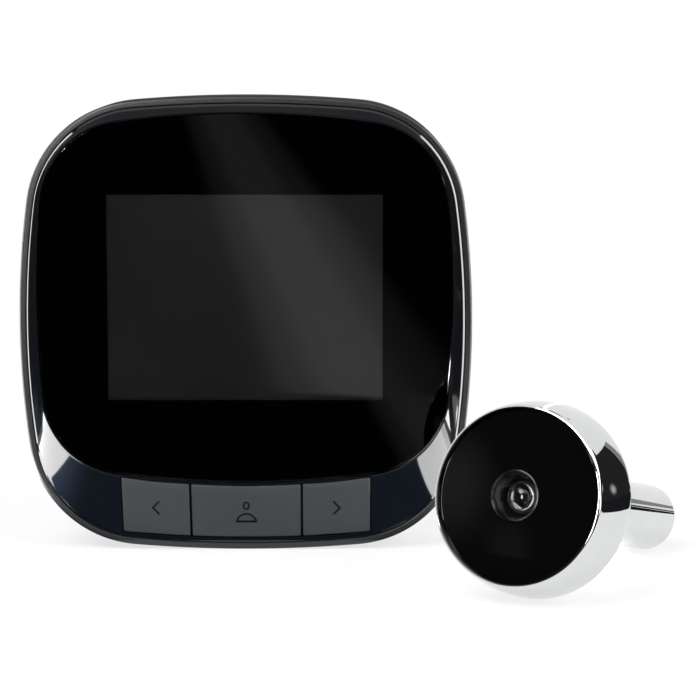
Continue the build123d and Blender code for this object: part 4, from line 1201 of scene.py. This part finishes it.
def bracket_room():
    """The width, height and middle height of the bracket's recess."""
    s = bpy.context.scene.door_back
    w = BRACKET_HIGH.x - BRACKET_LOW.x + 2 * s.bracket_gap
    h = BRACKET_HIGH.z - BRACKET_LOW.z + s.bracket_drop + 2 * s.bracket_gap
    return w, h, BRACKET_Z - s.bracket_drop / 2


class DOOR_OT_cover(bpy.types.Operator):
    """Models the battery cover with its hinge edge, tabs and grip grooves"""

    bl_idname = "door.cover"
    bl_label = "Battery cover"

    def execute(self, context):
        s = context.scene.door_back
        back = COVER_HIGH.y - GLASS_Y
        front = back - s.cover_t
        r = s.cover_t / 2
        hinge_z = COVER_LOW.z + s.tab_l
        w = COVER_HIGH.x - COVER_LOW.x
        h = COVER_HIGH.z - hinge_z
        rounds = (s.cover_round, s.cover_round, 0, 0)
        piece = plate("cover", 0, hinge_z + h / 2, w, h, rounds, front, back)
        join(piece, self.hinge_edge(w, hinge_z, back - r, r))
        tab_z = hinge_z - s.tab_l / 2 + r / 2
        for sx in (-1, 1):
            join(piece, part_block("tab", sx * s.tab_x, tab_z, s.tab_w, s.tab_l + r, front, front + r))
        for i in range(3):
            z = COVER_HIGH.z - GRIP_TOP - s.grip_step * (i + 1)
            cut(piece, part_block("groove", 0, z, s.grip_w, s.grip_h, back - s.grip_d, back + PAST))
        bevel(piece, COVER_EDGE)
        smooth(piece, 30)
        even_shading(piece)
        dress(piece, "matt", "battery_door", ["battery_cover"])
        return {"FINISHED"}

    def hinge_edge(self, w, z, y, r):
        """The rounded lower edge, about the hinge line."""
        circle = [(GLASS_Y + y + r * math.cos(a), z + r * math.sin(a)) for a in turns(32)]
        rings = [[Vector((MID_X + x, *point)) for point in circle] for x in (-w / 2, w / 2)]
        return ring_up("edge", rings, "filled")


class DOOR_OT_bracket(bpy.types.Operator):
    """Models the steel bracket with its holes and folded hooks"""

    bl_idname = "door.bracket"
    bl_label = "Bracket"

    def execute(self, context):
        s = context.scene.door_back
        back = BRACKET_HIGH.y - GLASS_Y
        front = back - s.bracket_t
        size = BRACKET_HIGH - BRACKET_LOW
        piece = plate("bracket", 0, BRACKET_Z, size.x, size.z, (s.bracket_corner,) * 4, front, back)
        hook_back = back - s.recess_d - s.recess_wall - s.hook_gap
        hook_front = hook_back - s.bracket_t
        stem_back = front + s.bracket_t / 2
        lip_h = s.bracket_t + s.hook_h
        for sx, sz in corners():
            x, z = sx * s.hook_x, BRACKET_Z + sz * s.hook_z
            join(piece, part_block("stem", x, z, s.hook_w, s.bracket_t, hook_front, stem_back))
            lip_z = z - s.bracket_t / 2 + lip_h / 2
            join(piece, part_block("lip", x, lip_z, s.hook_w, lip_h, hook_front, hook_back))
        cut(piece, rod("hole", 0, BRACKET_Z, s.hole_r, front - PAST, back + PAST, 96))
        for x in (-s.screw_hole_x, s.screw_hole_x):
            cut(piece, rod("hole", x, BRACKET_Z, s.screw_hole_r, front - PAST, back + PAST))
        bevel(piece, BRACKET_EDGE)
        smooth(piece, 30)
        even_shading(piece)
        dress(piece, "steel", "door_plate", ["mounting_bracket"])
        return {"FINISHED"}


# The viewer


def viewer_matrix():
    """From the viewer's own axes, tube along +Z and rim at zero, to the row's."""
    mount = MOUNTS["tube_outside"]
    s = bpy.context.scene.door_viewer
    axis = Vector(mount["axis"]).normalized()
    middle_s = (s.tube_step + s.tube_end - s.tube_round) / 2
    origin = Vector(mount["pos_m"]) - axis * middle_s
    across = axis.cross(Vector((0, 0, 1))).normalized()
    up = across.cross(axis)
    turn = Matrix((across, up, axis)).transposed().to_4x4()
    return Matrix.Translation(origin) @ turn


def turned(name, profile, steps=128, ends="joined"):
    """A profile of radius and distance turned about the viewer's axis."""
    place = viewer_matrix()
    rings = []
    for r, s in profile:
        rings.append([place @ Vector((r * math.cos(a), r * math.sin(a), s)) for a in turns(steps)])
    return ring_up(name, rings, ends)


def through(a, b, c, steps):
    """Points of the arc from a through b to c."""
    ax, ay, bx, by, cx, cy = *a, *b, *c
    aa, bb, cc = ax**2 + ay**2, bx**2 + by**2, cx**2 + cy**2
    twice = 2 * (ax * (by - cy) + bx * (cy - ay) + cx * (ay - by))
    middle_x = (aa * (by - cy) + bb * (cy - ay) + cc * (ay - by)) / twice
    middle_y = (aa * (cx - bx) + bb * (ax - cx) + cc * (bx - ax)) / twice
    r = math.hypot(ax - middle_x, ay - middle_y)
    first = math.atan2(ay - middle_y, ax - middle_x)
    last = math.atan2(cy - middle_y, cx - middle_x)
    angles = [first + (last - first) * i / steps for i in range(steps + 1)]
    return [(middle_x + r * math.cos(t), middle_y + r * math.sin(t)) for t in angles]


class DOOR_OT_head(bpy.types.Operator):
    """Models the chrome head, its black face, the lens collar and the lens"""

    bl_idname = "door.head"
    bl_label = "Viewer head"

    def execute(self, context):
        s = context.scene.door_viewer
        behind = s.face_drop + s.face_t
        self.shell(s, behind)
        self.face(s, behind)
        self.funnel(s)
        self.lens(s)
        return {"FINISHED"}

    def shell(self, s, behind):
        """The chrome ring, from the face's seat over the rim and the flare to the back."""
        lip = s.rim_r - s.rim_edge
        inner = s.rim_r - HEAD_WALL
        ledge = behind + FACE_LEDGE_T
        back_r = s.head_r - s.head_round
        slant_in, slant_s = RIM_SLANT
        profile = [(s.face_r, behind), (s.face_r, s.face_drop), (s.rim_inner_r - slant_in, slant_s)]
        profile += [(s.rim_inner_r, 0)] + rounding(lip, s.rim_edge, s.rim_edge, -90, 0, 8)
        profile += through((s.rim_r, s.rim_edge), (s.flare_r, s.flare_s), (s.head_r, s.widest_s), 24)[1:]
        profile += rounding(back_r, s.widest_s, s.head_round, 0, 90, 14)[1:]
        profile += [(back_r - FIT, s.head_l), (inner + BREAK, s.head_l), (inner, s.head_l - BREAK)]
        profile += [(inner, ledge), (FACE_SEAT_R, ledge), (FACE_SEAT_R, behind)]
        keep_below = [(r, min(z, s.head_l)) for r, z in profile]
        piece = turned("head_shell", keep_below, 192)
        smooth(piece, 35)
        dress(piece, "chrome", "root", ["camera_head_shell"])

    def face(self, s, behind):
        """The domed black face with its hole for the lens's collar."""
        hole = s.collar_r + FIT
        edge = s.face_r - FIT
        inner = edge - BREAK
        front = s.face_drop - s.face_dome
        steps = 20
        radii = [hole + (inner - hole) * i / steps for i in range(steps + 1)]
        profile = [(hole, behind)] + [(r, front + s.face_dome * (r / s.face_r) ** 2) for r in radii]
        profile += [(edge, s.face_drop + BREAK), (edge, behind)]
        piece = turned("face_plate", profile, 160)
        smooth(piece, 25)
        dress(piece, "face", nodes=["face_disc"])

    def funnel(self, s):
        """The collar whose rounded mouth leads down to the lens."""
        front = s.face_drop - s.face_dome
        end = front + s.funnel_l
        profile = [(s.collar_r - inset * MM, front + deep * MM) for inset, deep in COLLAR_MOUTH]
        profile += [(s.funnel_r - inset * MM, front + deep * MM) for inset, deep in FUNNEL_MOUTH]
        profile += [(s.funnel_end_r, end), (s.funnel_end_r + FUNNEL_END_T, end)]
        profile += [(s.collar_r, front + s.face_t)]
        piece = turned("lens_funnel", profile, 96)
        smooth(piece, 25)
        dress(piece, "collar", nodes=["lens_collar"])

    def lens(self, s):
        """The glass, domed in front."""
        radius = (s.lens_r**2 + s.lens_dome**2) / (2 * s.lens_dome)
        first = s.lens_s - s.lens_dome
        back = s.lens_s + s.lens_t
        span = math.asin(s.lens_r / radius)
        steps = 14
        angles = [span * i / steps for i in range(1, steps + 1)]
        profile = [(radius * math.sin(a), first + radius * (1 - math.cos(a))) for a in angles]
        profile += [(s.lens_r, back), (LENS_BACK_RING * s.lens_r, back)]
        lens = turned("lens_dome", profile, 64, "filled")
        smooth(lens, 40)
        dress(lens, "lens", nodes=["front_lens"])


class DOOR_OT_tube(bpy.types.Operator):
    """Models the chrome tube with its rounded end and threaded bore"""

    bl_idname = "door.tube"
    bl_label = "Viewer tube"

    def execute(self, context):
        s = context.scene.door_viewer
        root = s.head_l - HEAD_WALL
        last = s.tube_end - s.tube_round
        profile = [(s.spigot_r, root), (s.spigot_r, s.tube_step), (s.tube_r - TUBE_EDGE, s.tube_step)]
        ring_places = (
            s.tube_step + TUBE_EDGE,
            s.tube_step + TUBE_RING,
            s.tube_end - TUBE_END_RING,
            last - TUBE_EDGE,
        )
        profile += [(s.tube_r, place) for place in ring_places]
        profile += rounding(s.tube_r - s.tube_round, last, s.tube_round, 0, 90, 6)
        profile += [(s.bore_r + BORE_BREAK, s.tube_end), (s.bore_r, s.tube_end - BORE_BREAK)]
        for i in range(THREAD_TURNS):
            place = s.tube_end - THREAD_START - i * THREAD_PITCH
            profile += [(s.bore_r, place), (s.bore_r - THREAD_DEPTH, place - THREAD_PITCH / 2)]
        thread_end = s.tube_end - THREAD_START - THREAD_TURNS * THREAD_PITCH
        profile += [(s.bore_r, thread_end), (s.bore_r, s.shoulder)]
        profile += [(s.neck_r, s.shoulder), (s.neck_r, root)]
        piece = turned("tube", profile, 128)
        smooth(piece, 25)
        dress(piece, "chrome", nodes=["viewer_tube"])
        return {"FINISHED"}


NODE_FINISHES = {
    "steel": ["board_screws", "housing_screws", "sensor_board_screws"],
    "matt": ["head_backplate"],
    "rubber": ["door_gasket", "cable_grommet"],
    "foam": ["window_tape", "lcd_gasket", "lcd_pad"],
    "board": ["main_board", "sensor_board"],
    "chip": ["board_chips", "lens_holder", "left_plunger", "power_plunger", "right_plunger"],
    "nylon": ["camera_socket", "lcd_connector", "sensor_connector"],
    "tray": ["lcd_backlight"],
    "flex": ["lcd_ribbon"],
    "nickel": ["battery_contacts_left", "battery_contacts_right", "switch_bodies"],
    "wrap": ["battery_cell_1", "battery_cell_2", "battery_cell_3"],
    "barrel": ["lens_barrel", "image_sensor"],
    "lens": ["inner_lens"],
    "mask": ["window_mask"],
    "screen": ["lcd_panel"],
}


class DOOR_OT_nodes(bpy.types.Operator):
    """Gives the pieces that stay as they are their finishes"""

    bl_idname = "door.nodes"
    bl_label = "Inner and back pieces"

    def execute(self, context):
        for material, nodes in NODE_FINISHES.items():
            for node in nodes:
                refinish(node, material)
        return {"FINISHED"}


# The stage

WHITE = (1, 1, 1)
DARK = (0.012, 0.013, 0.016)
# Heights of the cards over the floor, one above another where they meet
LOW_CARD = 1.5 * MM
CARD_HEIGHT = 2 * MM
HIGH_CARD = 2.5 * MM
# How pale the floor is to light that goes on to the object
PAPER_LEVEL = 0.8
LAMP_SIZE = 0.6
LAMP_TARGET = (0, 0, 0.05)

# The soft band: where its left edge steps aside, where its levels start and how far they run, both in
# widths of the band from its left edge, and the levels along that run
BAND_STEP_Y = (-0.205, -0.19)
BAND_START = -0.4
BAND_SPAN = 1.9
BAND_STOPS = ((0.05, 0.0), (0.21, 0.5), (0.36, 1.0), (0.55, 1.0), (0.74, 0.5), (0.95, 0.0))


def seen_mix(tree, plain, bright):
    """One shader for light that the camera, gloss or clear glass sees, another for the rest."""
    path = tree.nodes.new("ShaderNodeLightPath")
    seen = path.outputs["Is Camera Ray"]
    for name in ("Is Glossy Ray", "Is Transmission Ray"):
        seen = sums(tree, "MAXIMUM", seen, path.outputs[name])
    return mixed(tree, seen, plain, bright)


def mixed(tree, part, first, second):
    """Two shaders mixed, the second by this part."""
    mix = tree.nodes.new("ShaderNodeMixShader")
    tree.links.new(part, mix.inputs["Fac"])
    tree.links.new(first, mix.inputs[1])
    tree.links.new(second, mix.inputs[2])
    return mix.outputs["Shader"]


def glow(tree, strength, shade=WHITE):
    """A plain light."""
    node = tree.nodes.new("ShaderNodeEmission")
    node.inputs["Color"].default_value = (*shade, 1)
    node.inputs["Strength"].default_value = strength
    return node


def paper(tree, level):
    """A plain matt surface."""
    node = tree.nodes.new("ShaderNodeBsdfDiffuse")
    node.inputs["Color"].default_value = (level, level, level, 1)
    return node.outputs["BSDF"]


def bare_tree(owner, kind):
    """An emptied node tree of a material or a world, and its output's surface."""
    owner.use_nodes = True
    tree = owner.node_tree
    tree.nodes.clear()
    return tree, tree.nodes.new(kind).inputs["Surface"]


def floor_material(s):
    """White paper: near the object it keeps its shadow, further out it is plain white."""
    material = bpy.data.materials.new("studio_paper")
    tree, surface = bare_tree(material, "ShaderNodeOutputMaterial")
    near = tree.nodes.new("ShaderNodeAddShader")
    tree.links.new(paper(tree, s.shadow), near.inputs[0])
    tree.links.new(glow(tree, s.glow).outputs["Emission"], near.inputs[1])
    distance = tree.nodes.new("ShaderNodeVectorMath")
    distance.operation = "LENGTH"
    tree.links.new(own_place(tree), distance.inputs[0])
    far = rise(tree, distance.outputs["Value"], s.fade_from, s.fade_to)
    seen = mixed(tree, far, near.outputs["Shader"], glow(tree, 1).outputs["Emission"])
    tree.links.new(seen_mix(tree, paper(tree, PAPER_LEVEL), seen), surface)
    return material


def rise(tree, source, low, high):
    """A number that rises from nothing to one between two values."""
    node = tree.nodes.new("ShaderNodeMapRange")
    node.interpolation_type = "SMOOTHSTEP"
    node.inputs["From Min"].default_value = low
    node.inputs["From Max"].default_value = high
    tree.links.new(source, node.inputs["Value"])
    return node.outputs["Result"]


def sums(tree, operation, first, second):
    """One step of arithmetic on two numbers or sockets."""
    node = tree.nodes.new("ShaderNodeMath")
    node.operation = operation
    for value, socket in zip((first, second), node.inputs):
        if isinstance(value, (int, float)):
            socket.default_value = value
        else:
            tree.links.new(value, socket)
    return node.outputs["Value"]


def card(name, corners, shade, strength=1.0, one_sided=False):
    """A flat card that only gloss sees: dark to take light away, or bright."""
    bpy.ops.object.select_all(action="DESELECT")
    bpy.ops.mesh.primitive_circle_add(vertices=len(corners), fill_type="NGON")
    piece = start(name)
    for vertex, corner in zip(piece.data.vertices, corners):
        vertex.co = corner
    material = bpy.data.materials.new(name)
    tree, surface = bare_tree(material, "ShaderNodeOutputMaterial")
    light = glow(tree, strength, shade)
    seen = light.outputs["Emission"]
    if one_sided:
        behind = tree.nodes.new("ShaderNodeNewGeometry").outputs["Backfacing"]
        open_air = tree.nodes.new("ShaderNodeBsdfTransparent").outputs["BSDF"]
        seen = mixed(tree, behind, seen, open_air)
    tree.links.new(seen, surface)
    piece.data.materials.append(material)
    piece.visible_camera = False
    piece.visible_diffuse = False
    piece.visible_shadow = False
    piece.visible_volume_scatter = False
    return light, tree


def floor_card(name, points, shade=WHITE, strength=1.0, height=CARD_HEIGHT):
    """A card that lies just over the floor."""
    return card(name, [(x, y, height) for x, y in points], shade, strength)


def upright(name, low, high, shade, strength=1.0, one_sided=False):
    """An upright card between two opposite corners, in the plane of X or of Y."""
    (x0, y0, z0), (x1, y1, z1) = low, high
    return card(name, [(x0, y0, z0), (x1, y1, z0), (x1, y1, z1), (x0, y0, z1)], shade, strength, one_sided)


def fading(light, tree, axis, low, high, near, far):
    """Lets a card's colour change from one value to another along an axis."""
    part = rise(tree, own_axes(tree)[axis], low, high)
    tree.links.new(shades(tree, part, near, far), light.inputs["Color"])


def soft_spots(light, tree, spots, ground):
    """Soft round spots of light on a card: middle, radius and level of each."""
    place = own_place(tree)
    level = ground
    for middle, radius, value in spots:
        away = tree.nodes.new("ShaderNodeVectorMath")
        away.operation = "DISTANCE"
        tree.links.new(place, away.inputs[0])
        away.inputs[1].default_value = middle
        spot = sums(tree, "SUBTRACT", 1, rise(tree, away.outputs["Value"], 0, radius))
        level = sums(tree, "ADD", level, sums(tree, "MULTIPLY", spot, value))
    tree.links.new(level, light.inputs["Strength"])


def soft_band(light, tree, s):
    """A soft slanting band of light on the card that the glass reflects."""
    axes = own_axes(tree)
    x, y = axes["X"], axes["Y"]
    left = sums(tree, "ADD", sums(tree, "MULTIPLY", y, s.band_left_slope), s.band_left)
    left = sums(tree, "ADD", left, sums(tree, "MULTIPLY", rise(tree, y, *BAND_STEP_Y), s.band_step))
    right = sums(tree, "ADD", sums(tree, "MULTIPLY", y, s.band_right_slope), s.band_right)
    across = sums(tree, "DIVIDE", sums(tree, "SUBTRACT", x, left), sums(tree, "SUBTRACT", right, left))
    ramp = tree.nodes.new("ShaderNodeValToRGB")
    ramp.color_ramp.interpolation = "EASE"
    for position, _level in BAND_STOPS[1:-1]:
        ramp.color_ramp.elements.new(position)
    for element, (position, level) in zip(ramp.color_ramp.elements, BAND_STOPS):
        element.position = position
        element.color = (level, level, level, 1)
    part = sums(tree, "DIVIDE", sums(tree, "SUBTRACT", across, BAND_START), BAND_SPAN)
    tree.links.new(part, ramp.inputs["Fac"])
    level = sums(tree, "MULTIPLY", ramp.outputs["Color"], s.band_light)
    tree.links.new(sums(tree, "ADD", level, s.dark_floor), light.inputs["Strength"])


def lamp(name, place, power):
    """A soft square lamp that faces the middle of the object."""
    bpy.ops.object.light_add(type="AREA", location=place)
    light = bpy.context.object
    light.name = name
    light.data.shape = "SQUARE"
    light.data.size = LAMP_SIZE
    light.data.energy = power
    light.rotation_mode = "QUATERNION"
    light.rotation_quaternion = (Vector(LAMP_TARGET) - Vector(place)).to_track_quat("-Z", "Y")


class DOOR_OT_stage(bpy.types.Operator):
    """Sets the floor, the light and the camera"""

    bl_idname = "door.stage"
    bl_label = "Stage"

    def execute(self, context):
        s = context.scene.door_stage
        bpy.ops.object.select_all(action="DESELECT")
        bpy.ops.mesh.primitive_plane_add(size=s.floor_size)
        floor = start("studio_floor")
        floor.data.materials.append(floor_material(s))
        self.sky(s.sky)
        lamp("key_lamp", (-0.5, -0.6, 0.9), s.key_power)
        lamp("fill_lamp", (0.7, -0.5, 0.6), s.fill_power)
        self.front_cards(s)
        self.floor_cards(s)
        self.flags()
        self.rim_cards(s)
        self.softboxes()
        self.camera(context, s)
        return {"FINISHED"}

    def front_cards(self, s):
        """What the glass and the lower slope reflect from in front: dark, with a soft band."""
        far = [(-0.62, -3.5), (0.6, -3.5), (0.3, -0.08), (-0.62, -0.08)]
        soft_band(*floor_card("front_card", far), s)
        upright("front_wall", (-2.5, -3.5, 0), (2.5, -3.5, 2.5), DARK)
        near = [(-0.62, -0.08), (0.03, -0.08), (0.03, -0.055), (0.022, -0.036), (-0.62, -0.036)]
        floor_card("left_front_card", near, DARK)
        under = [(-0.066, -0.012), (0.0265, -0.012), (0.0265, 0.03), (-0.0905, 0.03)]
        blue, dim_blue = (0.62, 0.80, 1.4), (0.05, 0.10, 0.16)
        fading(*floor_card("near_card", under), "X", -0.082, -0.060, blue, dim_blue)

    def floor_cards(self, s):
        """What the side slopes and the chrome reflect from the floor, dark but for two bright cards."""
        left = [(-0.122, -0.012), (-2.4, -0.012), (-2.4, 2.3), (-0.135, 0.08)]
        pale, dark = (0.25, 0.29, 0.36), (0.012, 0.022, 0.03)
        fading(*floor_card("left_back_card", left), "Y", 0.03, 0.095, pale, dark)
        right = [(0.058, 0.018), (0.10, 0.045), (0.15, 0.10), (0.24, 0.167)]
        right += [(2.4, 1.4), (2.4, 2.3), (0.09, 0.07)]
        pale, dark = (0.22, 0.24, 0.26), (0.012, 0.014, 0.016)
        fading(*floor_card("right_back_card", right), "Y", 0.035, 0.07, pale, dark)
        left = [(-0.122, -0.012), (-0.066, -0.012), (-0.0905, 0.03), (-0.0815, 0.07), (-0.122, 0.07)]
        floor_card("left_bright_card", left, WHITE, s.left_bright, LOW_CARD)
        right = [(0.0265, -0.012), (0.058, -0.012), (0.058, 0.04), (0.0265, 0.04)]
        floor_card("right_bright_card", right, WHITE, s.right_bright, LOW_CARD)
        floor_card("right_floor_card", [(0.135, -0.25), (0.5, -0.25), (0.5, 0.31), (0.135, 0.09)], DARK)

    def flags(self):
        """Dark flags at both sides, with soft spots of light that the chrome shows."""
        left = upright("left_flag", (-0.6, -1.1, 0), (-0.6, 0.45, 0.7), WHITE)
        soft_spots(*left, [((-0.6, -0.19, 0.16), 0.2, 0.3), ((-0.6, -0.44, 0.03), 0.16, 0.13)], 0.012)
        right = upright("right_flag", (0.5, -0.45, 0), (0.5, 0.36, 0.29), WHITE)
        soft_spots(*right, [((0.5, 0.085, 0.055), 0.04, 0.5), ((0.5, -0.3, 0.02), 0.14, 3.5)], 0.02)
        upright("right_grey_flag", (0.5, 0.36, 0.03), (0.5, 0.46, 0.29), (0.28, 0.28, 0.28))

    def rim_cards(self, s):
        """What the bezel's upper slopes and its foot reflect from beside and behind."""
        back = [(-0.15, 0.088), (0.02, 0.088), (0.05, 0.096), (0.085, 0.096), (0.085, 0.3), (-0.15, 0.3)]
        card("back_card", [(x, 0.05, z) for x, z in back], (0.13, 0.13, 0.14))
        upright("ring_card", (-0.3, 0.013, 0.003), (0.04, 0.013, 0.2), (0.95, 0.95, 0.95), 1, True)
        dark = (0.02, 0.02, 0.022)
        upright("left_corner_card", (-0.15, 0.05, 0.052), (-0.073, 0.05, 0.088), dark)
        upright("right_corner_card", (0.031, 0.05, 0.05), (0.031, 0.0225, 0.1), dark, 1, True)
        upright("left_strip", (-0.0895, 0.0165, 0.016), (-0.0895, 0.0245, 0.12), WHITE, s.strip, True)
        upright("right_strip", (0.046, 0.0245, 0.016), (0.046, 0.0165, 0.12), WHITE, s.strip, True)

    def softboxes(self):
        """Bright cards that the lens, its funnel and the chrome show."""
        upright("lens_softbox", (-0.45, -0.9, 0.04), (-0.21, -0.9, 0.5), WHITE, 14)
        funnel = [(0.22, -0.25), (0.5, -0.25), (0.5, -0.12), (0.22, -0.095)]
        floor_card("funnel_card", funnel, WHITE, 3.5, HIGH_CARD)
        upright("top_softbox", (-0.1, -0.7, 0.75), (0.45, -0.7, 1.15), WHITE, 3)
        upright("right_softbox", (0.4, -0.95, 0.12), (0.62, -0.75, 0.5), WHITE, 2.5)

    def sky(self, strength):
        """Even light on the object, and white where camera, gloss or clear glass sees it."""
        world = bpy.context.scene.world or bpy.data.worlds.new("sky")
        bpy.context.scene.world = world
        tree, surface = bare_tree(world, "ShaderNodeOutputWorld")
        lights = []
        for level in (strength, 1):
            node = tree.nodes.new("ShaderNodeBackground")
            node.inputs["Color"].default_value = (*WHITE, 1)
            node.inputs["Strength"].default_value = level
            lights.append(node.outputs["Background"])
        tree.links.new(seen_mix(tree, *lights), surface)

    def camera(self, context, s):
        """The camera at the photograph's angle, and plain view settings."""
        aim = Vector((MID_X + s.aim_x, GLASS_Y, s.aim_z))
        place = aim + Vector((0, -s.distance, s.distance * math.tan(s.pitch)))
        bpy.ops.object.camera_add(location=place)
        camera = context.object
        camera.name = "picture_camera"
        camera.rotation_mode = "QUATERNION"
        camera.rotation_quaternion = (aim - place).to_track_quat("-Z", "Y")
        camera.data.sensor_width = s.sensor_mm
        camera.data.lens = s.lens_px / s.picture_px * s.sensor_mm
        camera.data.clip_start = 0.01
        camera.data.clip_end = 50
        context.scene.camera = camera
        context.scene.view_settings.view_transform = "Standard"


class DOOR_PT_panel(bpy.types.Panel):
    """Lists the sizes, the finishes and the steps"""

    bl_label = "Door Viewer"
    bl_idname = "DOOR_PT_panel"
    bl_space_type = "VIEW_3D"
    bl_region_type = "UI"
    bl_category = "Door Viewer"

    def draw(self, context):
        """Draws a box for each group of sizes, and a button for each step."""
        for attribute in GROUPS:
            box = self.layout.box()
            group = getattr(context.scene, attribute)
            for name in group.__annotations__:
                box.prop(group, name)
        for operator in STEPS:
            self.layout.operator(operator.bl_idname)


GROUPS = {
    "door_case": CaseSizes,
    "door_window": WindowSizes,
    "door_keys": KeySizes,
    "door_back": BackSizes,
    "door_viewer": ViewerSizes,
    "door_finishes": Finishes,
    "door_stage": StageSizes,
}
STEPS = [
    DOOR_OT_stage,
    DOOR_OT_window,
    DOOR_OT_bezel,
    DOOR_OT_keys,
    DOOR_OT_housing,
    DOOR_OT_cover,
    DOOR_OT_bracket,
    DOOR_OT_head,
    DOOR_OT_tube,
    DOOR_OT_nodes,
]


def register():
    """Registers the classes and hangs the sizes on the scene."""
    for group in GROUPS.values():
        bpy.utils.register_class(group)
    for step in (*STEPS, DOOR_PT_panel):
        bpy.utils.register_class(step)
    for attribute, group in GROUPS.items():
        setattr(bpy.types.Scene, attribute, PointerProperty(type=group))


def unregister():
    """Takes them away again."""
    for attribute in GROUPS:
        delattr(bpy.types.Scene, attribute)
    for step in (*STEPS, DOOR_PT_panel):
        bpy.utils.unregister_class(step)
    for group in GROUPS.values():
        bpy.utils.unregister_class(group)


def main():
    """Models everything in order."""
    register()
    MATERIALS.update(made_materials())
    bpy.ops.door.stage()
    bpy.ops.door.window()
    bpy.ops.door.bezel()
    bpy.ops.door.keys()
    bpy.ops.door.housing()
    bpy.ops.door.cover()
    bpy.ops.door.bracket()
    bpy.ops.door.head()
    bpy.ops.door.tube()
    bpy.ops.door.nodes()


if __name__ == "__main__":
    main()
